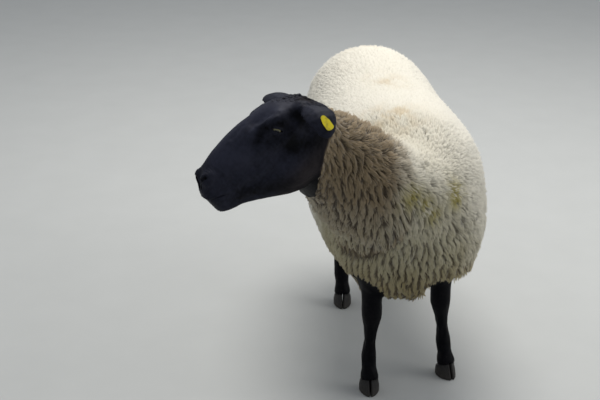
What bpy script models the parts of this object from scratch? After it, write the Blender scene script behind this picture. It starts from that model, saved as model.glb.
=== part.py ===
"""A Suffolk ewe in fleece: a still, life-size model, standing square and looking over its right shoulder.

The ewe faces -Y, its left side is at +X, and +Z is up, in metres. The flesh is modelled whole from lofted
sections and rounded masses, welded into one skin by a voxel remesh, and then parted with thin cuts into the
pieces that a stockman would name. Ears, eyes, hoof claws and the ear tag are pieces of their own.
"""

import math
from collections import namedtuple

import bmesh
import bpy
from mathutils import Matrix, Vector

# ---------------------------------------------------------------- driving dimensions
WITHERS_TOP = 0.790
HIP_TOP = 0.818
BRISKET_BOTTOM = 0.288
HEAD_LENGTH = 0.319          # poll to lips, the last of the head's sections
EAR_WIDTH = 0.072
EAR_THICKNESS = 0.0054
EYE_RADIUS = 0.0140
EYE_PLACE = (0.102, 0.0530, 0.000)       # along, left and up in the head's own frame
CLAW_LENGTH = 0.066
CLAW_WIDTH = 0.0270
CLEFT = 0.0030               # between the two claws of a foot
TOE_CORONET = 0.047          # height where hair meets horn, at the toe and at the heel
HEEL_CORONET = 0.027
TAG_LENGTH = 0.038
TAG_WIDTH = 0.0185
TAG_THICKNESS = 0.0018
TAG_SHARE = 0.74             # how far along the ear its stud is
TAG_SLANT = math.radians(18)
STUD_RADIUS = 0.0024
GAP = 0.0004                 # clearance between neighbouring solids
CUT = 0.0007                 # thickness of the cuts that part the flesh

BODY_VOXEL = 0.0080
HEAD_VOXEL = 0.0045
FLESH_TRIANGLES = 4700

# Where the head is carried: turned to the right, nose down, and rolled a little so that its left side looks up.
POLL = Vector((-0.317, -0.260, 0.947))
HEAD_TURN = math.radians(202.0)
HEAD_PITCH = math.radians(33.3)
HEAD_ROLL = math.radians(10.0)
FACE_DIRECTION = Vector((math.cos(HEAD_PITCH) * math.cos(HEAD_TURN),
                         math.cos(HEAD_PITCH) * math.sin(HEAD_TURN), -math.sin(HEAD_PITCH)))

# The hips lie this far to the right of the chest's midline.
SPINE_SWAY = -0.010
SWAY_FROM, SWAY_TO = 0.20, 0.80

BLACK_HAIR = (0.012, 0.011, 0.013, 1.0)
FLEECE = (0.72, 0.66, 0.55, 1.0)
HORN = (0.035, 0.030, 0.028, 1.0)
EYE_COLOUR = (0.20, 0.12, 0.04, 1.0)
TAG_YELLOW = (0.90, 0.72, 0.02, 1.0)

Section = namedtuple("Section", "name along top bottom half_width widest")
Joint = namedtuple("Joint", "name place half_width front back")


# ---------------------------------------------------------------- helpers
def clear_scene():
    for old in list(bpy.data.objects):
        bpy.data.objects.remove(old)


def collection(name):
    made = bpy.data.collections.new(name)
    bpy.context.scene.collection.children.link(made)
    return made


def material(name, colour, roughness):
    made = bpy.data.materials.new(name)
    made.use_nodes = True
    shader = made.node_tree.nodes["Principled BSDF"]
    shader.inputs["Base Color"].default_value = colour
    shader.inputs["Roughness"].default_value = roughness
    shader.inputs["Metallic"].default_value = 0.0
    return made


def object_of(bm, name, home, finish=None):
    mesh = bpy.data.meshes.new(name)
    bmesh.ops.triangulate(bm, faces=bm.faces)
    bmesh.ops.recalc_face_normals(bm, faces=bm.faces)
    bm.to_mesh(mesh)
    bm.free()
    made = bpy.data.objects.new(name, mesh)
    if finish:
        mesh.materials.append(finish)
    home.objects.link(made)
    return made


def smoothstep(value):
    share = min(1.0, max(0.0, value))
    return share * share * (3 - 2 * share)


def sway(along):
    return SPINE_SWAY * smoothstep((along - SWAY_FROM) / (SWAY_TO - SWAY_FROM))


def egg(angle, half_width, rise, drop, fullness):
    """A point of an egg-shaped section: wider than an ellipse where fullness is over 2."""
    cosine, sine = math.cos(angle), math.sin(angle)
    across = math.copysign(abs(cosine) ** (2 / fullness), cosine) * half_width
    reach = rise if sine > 0 else drop
    return across, math.copysign(abs(sine) ** (2 / fullness), sine) * reach


def loft(bm, rings, sides=28):
    """Skins rings of (centre, across, up, half_width, rise, drop, fullness) and closes both ends."""
    loops = []
    for centre, across, up, half_width, rise, drop, fullness in rings:
        made = bmesh.ops.create_circle(bm, cap_ends=False, segments=sides, radius=1.0)["verts"]
        for number, vertex in enumerate(made):
            x, y = egg(2 * math.pi * number / sides, half_width, rise, drop, fullness)
            vertex.co = centre + across * x + up * y
        edges = {edge for vertex in made for edge in vertex.link_edges}
        loops.append(list(edges))
    for first, second in zip(loops, loops[1:]):
        bmesh.ops.bridge_loops(bm, edges=first + second)
    for end in (loops[0], loops[-1]):
        bmesh.ops.holes_fill(bm, edges=end, sides=0)


def ball(bm, centre, radii, axes=None):
    """A rounded mass: a sphere with its own radius along each of three axes."""
    frame = axes or (Vector((1, 0, 0)), Vector((0, 1, 0)), Vector((0, 0, 1)))
    made = bmesh.ops.create_uvsphere(bm, u_segments=20, v_segments=12, radius=1.0)["verts"]
    for vertex in made:
        local = vertex.co.copy()
        vertex.co = centre + sum((axis * (radius * part) for axis, radius, part in
                                  zip(frame, radii, local)), Vector())


def limb(bm, joints, fullness=2.1):
    """A leg through its joints, each with its half width and its reach to the front and the back."""
    places = [joint.place for joint in joints]
    rings = []
    for number, joint in enumerate(joints):
        before = places[max(0, number - 1)]
        after = places[min(len(places) - 1, number + 1)]
        run = (after - before).normalized()
        across = Vector((1, 0, 0))
        forward = across.cross(run).normalized()
        if forward.y > 0:
            forward = -forward
        across = run.cross(forward).normalized()
        rings.append((joint.place, across, forward, joint.half_width, joint.front, joint.back, fullness))
    loft(bm, rings, sides=20)


def evaluated_mesh(obj, name):
    graph = bpy.context.evaluated_depsgraph_get()
    made = bpy.data.meshes.new_from_object(obj.evaluated_get(graph))
    made.name = name
    return made


def applied(obj):
    """Bakes an object's modifiers into its mesh."""
    bpy.context.view_layer.update()
    made = evaluated_mesh(obj, obj.name)
    obj.modifiers.clear()
    obj.data = made
    return obj


def cut_away(obj, cutter):
    """Takes the cutter's space out of the object, leaving no modifier behind."""
    taken = obj.modifiers.new("cut", "BOOLEAN")
    taken.operation = "DIFFERENCE"
    taken.solver = "EXACT"
    taken.object = cutter
    return applied(obj)


def guide(obj):
    obj.hide_render = True
    obj.display_type = "WIRE"
    return obj


def inflated(obj, home, by):
    """A guide a little larger all round than an object, for seating a neighbour on it with a gap."""
    mesh = obj.data.copy()
    larger = bpy.data.objects.new(obj.name + "_seat", mesh)
    home.objects.link(larger)
    swell = larger.modifiers.new("swell", "DISPLACE")
    swell.strength = by
    swell.mid_level = 0.0
    swell.direction = "NORMAL"
    return guide(applied(larger))


# ---------------------------------------------------------------- the head's own frame
LEVEL_LEFT = Vector((0, 0, 1)).cross(FACE_DIRECTION).normalized()
LEVEL_UP = FACE_DIRECTION.cross(LEVEL_LEFT).normalized()
HEAD_LEFT = LEVEL_LEFT * math.cos(HEAD_ROLL) + LEVEL_UP * math.sin(HEAD_ROLL)
HEAD_UP = FACE_DIRECTION.cross(HEAD_LEFT).normalized()


def head_point(along, left, up):
    """A place on the head: along the face from the poll, to its left, and up from the line poll to lips."""
    return POLL + FACE_DIRECTION * along + HEAD_LEFT * left + HEAD_UP * up


HEAD_AXES = (FACE_DIRECTION, HEAD_LEFT, HEAD_UP)

HEAD_SECTIONS = (
    Section("nape", -0.030, -0.022, -0.120, 0.050, -0.075),
    Section("poll", 0.012, 0.018, -0.150, 0.060, -0.060),
    Section("crown", 0.050, 0.038, -0.172, 0.064, -0.035),
    Section("brow", 0.088, 0.044, -0.180, 0.0635, -0.020),
    Section("cheek", 0.125, 0.048, -0.180, 0.057, -0.030),
    Section("face", 0.160, 0.050, -0.166, 0.0495, -0.034),
    Section("nose_root", 0.200, 0.048, -0.141, 0.0425, -0.030),
    Section("bridge", 0.240, 0.042, -0.117, 0.0385, -0.024),
    Section("muzzle", 0.273, 0.032, -0.098, 0.0385, -0.022),
    Section("nostrils", 0.294, 0.020, -0.085, 0.0370, -0.026),
    Section("lips", 0.309, 0.003, -0.077, 0.0310, -0.031),
    Section("lip_tip", HEAD_LENGTH, -0.016, -0.057, 0.0180, -0.036),
)


def add_head(bm):
    rings = []
    for part in HEAD_SECTIONS:
        centre = head_point(part.along, 0.0, part.widest)
        rings.append((centre, HEAD_LEFT, HEAD_UP, part.half_width,
                      part.top - part.widest, part.widest - part.bottom, 2.1))
    loft(bm, rings)
    for side in (-1, 1):
        ball(bm, head_point(0.092, side * 0.044, 0.012), (0.040, 0.024, 0.027), HEAD_AXES)   # brow
        ball(bm, head_point(0.108, side * 0.034, -0.092), (0.066, 0.026, 0.064), HEAD_AXES)  # jowl
        ball(bm, head_point(0.286, side * 0.019, 0.002), (0.025, 0.020, 0.023), HEAD_AXES)   # nostril
        ball(bm, head_point(0.026, side * 0.048, -0.012), (0.026, 0.026, 0.026), HEAD_AXES)  # ear root
    ball(bm, head_point(0.284, 0.0, -0.070), (0.034, 0.027, 0.022), HEAD_AXES)               # chin
    ball(bm, head_point(0.016, 0.0, -0.001), (0.040, 0.036, 0.018), HEAD_AXES)               # topknot


# ---------------------------------------------------------------- neck and trunk
NECK_SECTIONS = (
    # centre of the section, half width, rise, drop
    ("shoulder", Vector((0.020, 0.070, 0.560)), 0.190, 0.165, 0.180),
    ("base", Vector((-0.070, -0.042, 0.612)), 0.178, 0.142, 0.168),
    ("middle", Vector((-0.148, -0.116, 0.684)), 0.162, 0.131, 0.158),
    ("upper", Vector((-0.214, -0.170, 0.752)), 0.138, 0.124, 0.122),
    ("throat", Vector((-0.264, -0.210, 0.803)), 0.114, 0.107, 0.106),
    ("nape", Vector((-0.314, -0.246, 0.848)), 0.090, 0.086, 0.094),
)

TRUNK_SECTIONS = (
    Section("breast", -0.168, 0.520, 0.430, 0.060, 0.470),
    Section("chest", -0.135, 0.600, 0.345, 0.125, 0.450),
    Section("point_of_shoulder", -0.080, 0.680, 0.300, 0.186, 0.470),
    Section("shoulder", 0.010, 0.752, BRISKET_BOTTOM, 0.226, 0.505),
    Section("withers", 0.110, WITHERS_TOP, 0.288, 0.248, 0.530),
    Section("ribs", 0.250, 0.780, 0.296, 0.258, 0.540),
    Section("belly", 0.370, 0.774, 0.310, 0.250, 0.545),
    Section("loin", 0.480, 0.784, 0.350, 0.230, 0.565),
    Section("hips", 0.590, 0.811, 0.398, 0.218, 0.590),
    Section("croup", 0.675, HIP_TOP, 0.420, 0.206, 0.590),
    Section("rump", 0.745, 0.784, 0.450, 0.166, 0.600),
    Section("dock", 0.795, 0.715, 0.500, 0.110, 0.605),
    Section("seat", 0.816, 0.650, 0.550, 0.045, 0.600),
)


def add_neck(bm):
    places = [row[1] for row in NECK_SECTIONS]
    rings = []
    for number, (_, centre, half_width, rise, drop) in enumerate(NECK_SECTIONS):
        run = (places[min(number + 1, len(places) - 1)] - places[max(number - 1, 0)]).normalized()
        across = Vector((0, 0, 1)).cross(run).normalized()
        up = run.cross(across).normalized()
        rings.append((centre, across, up, half_width, rise, drop, 2.1))
    loft(bm, rings)
    ball(bm, Vector((-0.128, -0.178, 0.640)), (0.105, 0.085, 0.118))       # wool hanging under the throat



def add_trunk(bm):
    rings = []
    for part in TRUNK_SECTIONS:
        centre = Vector((sway(part.along), part.along, part.widest))
        rings.append((centre, Vector((1, 0, 0)), Vector((0, 0, 1)), part.half_width,
                      part.top - part.widest, part.widest - part.bottom, 2.12))
    loft(bm, rings, sides=36)


# ---------------------------------------------------------------- legs
FORELEG_SIZES = (
    # name, half width, front, back
    ("arm", 0.070, 0.085, 0.085),
    ("elbow", 0.056, 0.066, 0.070),
    ("forearm", 0.040, 0.046, 0.050),
    ("above_knee", 0.0300, 0.031, 0.032),
    ("knee", 0.0295, 0.032, 0.028),
    ("below_knee", 0.0215, 0.023, 0.024),
    ("cannon", 0.0170, 0.018, 0.021),
    ("fetlock", 0.0235, 0.023, 0.028),
    ("pastern", 0.0205, 0.021, 0.022),
    ("coronet", 0.0270, 0.031, 0.027),
    ("foot", 0.0275, 0.033, 0.027),
)

HINDLEG_SIZES = (
    ("thigh", 0.105, 0.150, 0.120),
    ("stifle", 0.092, 0.150, 0.140),
    ("gaskin", 0.072, 0.098, 0.108),
    ("above_hock", 0.046, 0.052, 0.062),
    ("hock", 0.0310, 0.034, 0.040),
    ("below_hock", 0.0235, 0.027, 0.030),
    ("cannon", 0.0185, 0.021, 0.022),
    ("fetlock", 0.0250, 0.026, 0.029),
    ("pastern", 0.0215, 0.022, 0.024),
    ("coronet", 0.0270, 0.031, 0.027),
    ("foot", 0.0275, 0.033, 0.027),
)


def foreleg_places(knee_x, foot_x, stance):
    """Joint places of a foreleg; stance is where its knee stands along the body."""
    knee = Vector((knee_x, stance, 0.238))
    fetlock = Vector((foot_x, stance + 0.022, 0.093))
    toe_in = (foot_x - knee_x) * 0.25
    return (
        Vector((knee_x * 1.06, 0.070, 0.500)), Vector((knee_x * 1.04, 0.056, 0.420)),
        Vector((knee_x * 1.02, stance * 0.6 + 0.026, 0.345)),
        Vector((knee_x, stance * 0.9 + 0.006, 0.282)), knee, knee.lerp(fetlock, 0.27),
        knee.lerp(fetlock, 0.60), fetlock, fetlock + Vector((toe_in * 0.3, -0.012, -0.024)),
        fetlock + Vector((toe_in * 0.6, -0.022, -0.043)), fetlock + Vector((toe_in, -0.027, -0.062)),
    )


def hindleg_places(hock_x, foot_x, stance):
    """Joint places of a hind leg; stance is where its hock stands along the body."""
    hip = sway(0.62)
    side = math.copysign(1.0, hock_x)
    hock = Vector((hock_x, stance, 0.290))
    fetlock = Vector((foot_x, stance - 0.086, 0.098))
    return (
        Vector((hip + side * 0.095, 0.670, 0.580)), Vector((hip + side * 0.112, 0.630, 0.480)),
        Vector((hip + side * 0.122, stance + 0.032, 0.392)), Vector((hock_x, stance + 0.014, 0.332)),
        hock, hock.lerp(fetlock, 0.24), hock.lerp(fetlock, 0.60), fetlock,
        fetlock + Vector((0.0, -0.012, -0.026)), fetlock + Vector((0.0, -0.023, -0.047)),
        fetlock + Vector((0.0, -0.028, -0.066)),
    )


FORELEG_LEFT = foreleg_places(0.109, 0.130, 0.028)
FORELEG_RIGHT = foreleg_places(-0.096, -0.098, -0.034)
HINDLEG_LEFT = hindleg_places(0.122, 0.130, 0.640)
HINDLEG_RIGHT = hindleg_places(-0.112, -0.104, 0.592)

Foot = namedtuple("Foot", "name side places sizes toe_out hind")
FEET = (
    Foot("fore_left", 1, FORELEG_LEFT, FORELEG_SIZES, math.radians(18), False),
    Foot("fore_right", -1, FORELEG_RIGHT, FORELEG_SIZES, math.radians(3), False),
    Foot("hind_left", 1, HINDLEG_LEFT, HINDLEG_SIZES, math.radians(8), True),
    Foot("hind_right", -1, HINDLEG_RIGHT, HINDLEG_SIZES, math.radians(6), True),
)


def add_legs(bm):
    for foot in FEET:
        limb(bm, [Joint(name, place, *size) for place, (name, *size) in zip(foot.places, foot.sizes)])


def add_tail(bm):
    x = sway(0.85)
    rings = []
    for y, z, radius in ((0.782, 0.745, 0.054), (0.824, 0.700, 0.054), (0.847, 0.640, 0.050),
                         (0.851, 0.580, 0.041), (0.847, 0.546, 0.018)):
        rings.append((Vector((x, y, z)), Vector((1, 0, 0)), Vector((0, 1, 0.25)).normalized(),
                      radius, radius * 0.8, radius * 0.8, 2.0))
    loft(bm, rings, sides=16)


def welded(bm, name, home, voxel, rounds):
    """Joins overlapping masses into one skin and eases the junctions between them."""
    made = object_of(bm, name, home)
    weld = made.modifiers.new("weld into one skin", "REMESH")
    weld.mode = "VOXEL"
    weld.voxel_size = voxel
    ease = made.modifiers.new("ease the junctions", "SMOOTH")
    ease.factor = 0.5
    ease.iterations = rounds
    return applied(made)


def whole_body(home):
    """The trunk, neck and tail are eased most, the legs and the head less, and then all are one skin."""
    bm = bmesh.new()
    add_trunk(bm)
    add_neck(bm)
    add_tail(bm)
    for foot in FEET:
        limb(bm, [Joint(name, place, *size) for place, (name, *size) in zip(foot.places[:4], foot.sizes[:4])])
    trunk = welded(bm, "trunk_mass", home, BODY_VOXEL, 45)
    bm = bmesh.new()
    add_legs(bm)
    legs = welded(bm, "leg_mass", home, HEAD_VOXEL, 5)
    bm = bmesh.new()
    add_head(bm)
    head = welded(bm, "head_mass", home, HEAD_VOXEL, 12)
    bm = bmesh.new()
    for mass in (trunk, legs, head):
        bm.from_mesh(mass.data)
        bpy.data.objects.remove(mass)
    body = welded(bm, "whole_body", home, 0.0055, 7)
    fine = body.vertex_groups.new(name="finer")
    for vertex in body.data.vertices:
        off = vertex.co - head_point(0.16, 0.0, -0.05)
        on_head = 1.0 - smoothstep((off.length - 0.17) / 0.06)
        on_foot = 1.0 - smoothstep((vertex.co.z - 0.28) / 0.06)
        fine.add([vertex.index], 1.0 - 0.72 * max(on_head, 0.85 * on_foot), "REPLACE")
    facet = body.modifiers.new("facet", "DECIMATE")
    facet.vertex_group = fine.name
    facet.vertex_group_factor = 1.0
    facet.ratio = FLESH_TRIANGLES / (2 * len(body.data.polygons))
    return applied(body)


# ---------------------------------------------------------------- ears, eyes, claws and the tag
EarStation = namedtuple("EarStation", "share half_width curl thickness")
EAR_STATIONS = (
    EarStation(0.00, 0.30, 0.70, 2.6),
    EarStation(0.09, 0.36, 0.75, 2.3),
    EarStation(0.20, 0.58, 0.62, 1.6),
    EarStation(0.33, 0.82, 0.48, 1.2),
    EarStation(0.47, 0.97, 0.38, 1.0),
    EarStation(0.60, 1.00, 0.32, 0.95),
    EarStation(0.73, 0.93, 0.28, 0.90),
    EarStation(0.84, 0.76, 0.26, 0.85),
    EarStation(0.92, 0.54, 0.24, 0.80),
    EarStation(0.975, 0.30, 0.20, 0.75),
    EarStation(1.00, 0.10, 0.10, 0.60),
)
# Places along each ear in the head's own frame, from inside its root to its tip.
EAR_LEFT_AXIS = ((0.024, 0.040, -0.013), (0.017, 0.077, -0.003), (0.013, 0.112, -0.006),
                 (0.021, 0.142, -0.022), (0.041, 0.162, -0.055))
EAR_RIGHT_AXIS = ((0.024, -0.040, -0.010), (0.021, -0.078, -0.005), (0.017, -0.114, -0.004),
                  (0.018, -0.146, -0.004), (0.026, -0.172, -0.007))


def curve_place(points, share):
    """A smooth run through evenly spaced points (Catmull-Rom)."""
    span = share * (len(points) - 1)
    number = min(int(span), len(points) - 2)
    part = span - number
    before = points[max(number - 1, 0)]
    after = points[min(number + 2, len(points) - 1)]
    here, there = points[number], points[number + 1]
    return (here * 2 + (there - before) * part
            + (before * 2 - here * 5 + there * 4 - after) * part ** 2
            + (here * 3 - before - there * 3 + after) * part ** 3) * 0.5


def ear_frame(axis, share, back):
    """Centre, run along the ear, width direction and outward normal at a share of its length."""
    points = [head_point(*place) for place in axis]
    centre = curve_place(points, share)
    ahead = curve_place(points, min(1.0, share + 0.02))
    behind = curve_place(points, max(0.0, share - 0.02))
    run = (ahead - behind).normalized()
    wide = (back - run * back.dot(run)).normalized()
    normal = run.cross(wide).normalized()
    if normal.dot(HEAD_UP) < 0:
        normal = -normal
    return centre, run, wide, normal


def ear(name, axis, home, skin):
    back = (-FACE_DIRECTION * 0.90 - HEAD_UP * 0.42 + HEAD_LEFT * 0.1).normalized()
    bm = bmesh.new()
    loops = []
    sides = 14
    for station in EAR_STATIONS:
        centre, _, wide, normal = ear_frame(axis, station.share, back)
        half = EAR_WIDTH / 2 * station.half_width
        thick = EAR_THICKNESS / 2 * station.thickness
        made = bmesh.ops.create_circle(bm, cap_ends=False, segments=sides, radius=1.0)["verts"]
        for number, vertex in enumerate(made):
            angle = 2 * math.pi * number / sides
            across = math.cos(angle)
            height = thick * math.sin(angle) - station.curl * half * across * across
            vertex.co = centre + wide * (half * across) + normal * height
        loops.append(list({edge for vertex in made for edge in vertex.link_edges}))
    for first, second in zip(loops, loops[1:]):
        bmesh.ops.bridge_loops(bm, edges=first + second)
    for end in (loops[0], loops[-1]):
        bmesh.ops.holes_fill(bm, edges=end, sides=0)
    return object_of(bm, name, home, skin)


def eye(name, side, home, finish):
    bm = bmesh.new()
    along, left, up = EYE_PLACE
    made = bmesh.ops.create_uvsphere(bm, u_segments=14, v_segments=8, radius=EYE_RADIUS)["verts"]
    turn = Matrix((FACE_DIRECTION, HEAD_UP, HEAD_LEFT)).transposed().to_4x4()
    bmesh.ops.transform(bm, verts=made, matrix=Matrix.Translation(head_point(along, side * left, up)) @ turn)
    return object_of(bm, name, home, finish)


def claw(name, foot, inner, home, horn):
    """One horn claw: a flat sole, a straight face to the cleft, a curved outer wall and a sloping top."""
    ground = foot.places[-1]
    turn = foot.toe_out * foot.side
    heading = Vector((math.sin(turn), -math.cos(turn), 0))
    across = Vector((math.cos(turn), math.sin(turn), 0)) * (-foot.side if inner else foot.side)
    heel = Vector((ground.x, ground.y, 0)) - heading * (CLAW_LENGTH * 0.44)
    bm = bmesh.new()
    loops = []
    steps = 7
    levels = ((0.0, 1.0, 0.0, 0.95), (0.10, 1.03, 0.0, 1.0), (0.55, 0.90, 0.01, 1.0), (1.0, 0.74, 0.03, 0.90))
    for level, length, back, width in levels:
        outline = []
        for number in range(steps + 1):
            share = number / steps
            bulge = math.sin(math.pi * min(1.0, 0.09 + 0.91 * share ** 0.80)) ** 0.55
            outline.append((share, CLEFT / 2 + CLAW_WIDTH * width * bulge))
        for share in (0.94, 0.5, 0.03):
            outline.append((share, CLEFT / 2))
        outline[steps] = (1.0, CLEFT / 2 + 0.004)
        made = []
        for share, out in outline:
            run = CLAW_LENGTH * (back + share * length)
            top = (HEEL_CORONET + (TOE_CORONET - HEEL_CORONET) * share) - GAP
            made.append(bm.verts.new(heel + heading * run + across * out + Vector((0, 0, level * top))))
        loops.append([bm.edges.new((made[n - 1], made[n])) for n in range(len(made))])
    for first, second in zip(loops, loops[1:]):
        bmesh.ops.bridge_loops(bm, edges=first + second)
    for end in (loops[0], loops[-1]):
        bmesh.ops.holes_fill(bm, edges=end, sides=0)
    return object_of(bm, name, home, horn)


def foot_trim(foot, home):
    """A block below the sloping coronet, so that the flesh ends just where the claws begin."""
    ground = foot.places[-1]
    turn = foot.toe_out * foot.side
    heading = Vector((math.sin(turn), -math.cos(turn), 0))
    across = Vector((math.cos(turn), math.sin(turn), 0))
    heel = Vector((ground.x, ground.y, 0)) - heading * (CLAW_LENGTH * 0.44)
    slope = (TOE_CORONET - HEEL_CORONET) / (CLAW_LENGTH * 0.74)
    bm = bmesh.new()
    corners = []
    for wide in (-0.08, 0.08):
        for run in (-0.10, 0.16):
            for z in (-0.20, HEEL_CORONET + slope * run):
                corners.append(bm.verts.new(heel + heading * run + across * wide + Vector((0, 0, z))))
    for face in ((0, 1, 3, 2), (4, 6, 7, 5), (0, 2, 6, 4), (1, 5, 7, 3), (0, 4, 5, 1), (2, 3, 7, 6)):
        bm.faces.new([corners[n] for n in face])
    return guide(object_of(bm, foot.name + "_trim", home))


def prism(bm, outline, place, side, out, low, high):
    """Extrudes an outline of (side, out) points from low to high along the third direction."""
    third = side.cross(out)
    bottom = [bm.verts.new(place + side * x + out * y + third * low) for x, y in outline]
    top = [bm.verts.new(place + side * x + out * y + third * high) for x, y in outline]
    bm.faces.new(bottom)
    bm.faces.new(list(reversed(top)))
    for n in range(len(outline)):
        bm.faces.new((bottom[n - 1], top[n - 1], top[n], bottom[n]))


def disc_outline(radius, sides=16):
    return [(radius * math.cos(2 * math.pi * n / sides), radius * math.sin(2 * math.pi * n / sides))
            for n in range(sides)]


def tag_outline():
    """A flag, narrow round the stud and rounded at its free end, as points about the stud."""
    points = []
    neck, half, free = 0.0062, TAG_WIDTH / 2, TAG_LENGTH - 0.0062
    for n in range(7):
        angle = math.pi + math.pi * n / 6
        points.append((neck * math.cos(angle), neck * math.sin(angle)))
    points.append((half, 0.011))
    for n in range(7):
        angle = math.pi * n / 6
        points.append((half * math.cos(angle), free - half * 0.6 + half * 0.6 * math.sin(angle)))
    points.append((-half, 0.011))
    return points


def tag_frame():
    back = (-FACE_DIRECTION * 0.90 - HEAD_UP * 0.42 + HEAD_LEFT * 0.1).normalized()
    centre, _, wide, normal = ear_frame(EAR_LEFT_AXIS, TAG_SHARE, back)
    run = (ear_frame(EAR_LEFT_AXIS, TAG_SHARE + 0.15, back)[0] - centre).normalized()
    lie = (run * math.cos(TAG_SLANT) + wide * math.sin(TAG_SLANT)).normalized()
    normal = (normal - lie * normal.dot(lie)).normalized()
    side = lie.cross(normal).normalized()
    return centre, side, lie, normal


def ear_tag(home, plastic):
    centre, side, lie, normal = tag_frame()
    lift = EAR_THICKNESS / 2 + 0.0016
    bm = bmesh.new()
    prism(bm, tag_outline(), centre, side, lie, lift, lift + TAG_THICKNESS)
    flag = object_of(bm, "ear_tag", home, plastic)
    bm = bmesh.new()
    prism(bm, disc_outline(STUD_RADIUS), centre, side, lie, -EAR_THICKNESS / 2 - 0.0042, lift + TAG_THICKNESS / 2)
    pin = object_of(bm, "ear_tag_pin", home)
    join = flag.modifiers.new("pin", "BOOLEAN")
    join.operation = "UNION"
    join.solver = "EXACT"
    join.object = pin
    applied(flag)
    bpy.data.objects.remove(pin)
    bm = bmesh.new()
    low = -EAR_THICKNESS / 2 - 0.0046 - TAG_THICKNESS
    prism(bm, disc_outline(0.0060, 16), centre, side, lie, low, low + TAG_THICKNESS)
    stud = object_of(bm, "ear_tag_stud", home, plastic)
    bm = bmesh.new()
    prism(bm, disc_outline(STUD_RADIUS + GAP), centre, side, lie, -0.02, 0.02)
    hole = guide(object_of(bm, "ear_tag_hole", home))
    return flag, stud, hole


# ---------------------------------------------------------------- thin cuts that part the flesh
def plate(name, home, centre, normal, along, half_wide, half_long):
    """A thin plate across the flesh, reaching half_long along one direction and half_wide across it."""
    normal = normal.normalized()
    along = (along - normal * along.dot(normal)).normalized()
    turn = Matrix((normal.cross(along), along, normal)).transposed().to_4x4()
    if turn.determinant() < 0:
        turn = Matrix((along.cross(normal), along, normal)).transposed().to_4x4()
    bm = bmesh.new()
    made = bmesh.ops.create_cube(bm, size=1.0)["verts"]
    bmesh.ops.transform(bm, verts=made, matrix=Matrix.Translation(centre) @ turn @
                        Matrix.Diagonal((2 * half_wide, 2 * half_long, CUT, 1.0)))
    return guide(object_of(bm, name, home))


def cut_plates(home):
    ahead, up = Vector((0, -1, 0)), Vector((0, 0, 1))
    right = Vector((1, 0, 0))
    hip = sway(0.62)
    neck_run = (NECK_SECTIONS[4][1] - NECK_SECTIONS[1][1]).normalized()
    nape = (neck_run + FACE_DIRECTION).normalized()
    mouth = FACE_DIRECTION * -0.45 + HEAD_UP * 0.89
    plates = [
        plate("cut_ribs", home, Vector((0, 0.190, 0.55)), ahead, up, 0.40, 0.40),
        plate("cut_loin", home, Vector((0, 0.480, 0.60)), ahead, up, 0.40, 0.40),
        plate("cut_neck", home, Vector((-0.092, -0.062, 0.640)), neck_run, up, 0.26, 0.26),
        plate("cut_nape", home, head_point(0.006, 0.0, -0.070), nape, up, 0.22, 0.26),
        plate("cut_muzzle", home, head_point(0.205, 0.0, -0.040), FACE_DIRECTION, HEAD_UP, 0.10, 0.11),
        plate("cut_mouth", home, head_point(0.2749, 0.0, -0.0585), mouth, FACE_DIRECTION, 0.09, 0.0787),
        plate("cut_thighs", home, Vector((hip, 0.685, 0.500)), up, ahead, 0.34, 0.2049),
        plate("cut_twist", home, Vector((hip, 0.685, 0.3997)), right, ahead, 0.1001, 0.2049),
        plate("cut_tail", home, Vector((hip, 0.823, 0.650)), Vector((0, 1, 0.10)), up, 0.14, 0.20),
    ]
    for foot in FEET:
        if foot.hind:
            plates.append(plate("cut_hock_" + foot.name, home, foot.places[3], up, ahead, 0.075, 0.09))
            plates.append(plate("cut_cannon_" + foot.name, home, foot.places[5], up, ahead, 0.06, 0.07))
        else:
            place = foot.places[3] + Vector((0, 0, -0.002))
            plates.append(plate("cut_elbow_" + foot.name, home, place, up, ahead, 0.062, 0.075))
    return plates


def islands(obj):
    """The separate closed pieces of a mesh, each as a set of vertex numbers."""
    bm = bmesh.new()
    bm.from_mesh(obj.data)
    bm.verts.ensure_lookup_table()
    seen, found = set(), []
    for start in bm.verts:
        if start.index in seen:
            continue
        piece, waiting = set(), [start]
        while waiting:
            vertex = waiting.pop()
            if vertex.index in piece:
                continue
            piece.add(vertex.index)
            waiting.extend(edge.other_vert(vertex) for edge in vertex.link_edges)
        seen |= piece
        found.append(piece)
    bm.free()
    return found


def part_flesh(body, home, anchors, finishes):
    """Makes a node of each closed piece, named for the nearest anchor."""
    spare = dict(anchors)
    for piece in sorted(islands(body), key=len, reverse=True):
        bm = bmesh.new()
        bm.from_mesh(body.data)
        bm.verts.ensure_lookup_table()
        bmesh.ops.delete(bm, geom=[v for v in bm.verts if v.index not in piece], context="VERTS")
        bmesh.ops.dissolve_degenerate(bm, dist=0.00001, edges=bm.edges)
        bmesh.ops.triangulate(bm, faces=bm.faces)
        if bm.calc_volume(signed=False) < 1e-6:
            print("dropped a sliver of", len(piece), "points")
            bm.free()
            continue
        middle = sum((v.co for v in bm.verts), Vector()) / len(bm.verts)
        name = min(spare, key=lambda key: (spare[key] - middle).length)
        print(name, "points", len(piece), "at", [round(c, 3) for c in middle],
              "volume", round(bm.calc_volume() * 1000, 2), "litres")
        spare.pop(name)
        object_of(bm, name, home, finishes(name))
    bpy.data.objects.remove(body)
    print("anchors without flesh:", sorted(spare))


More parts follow.
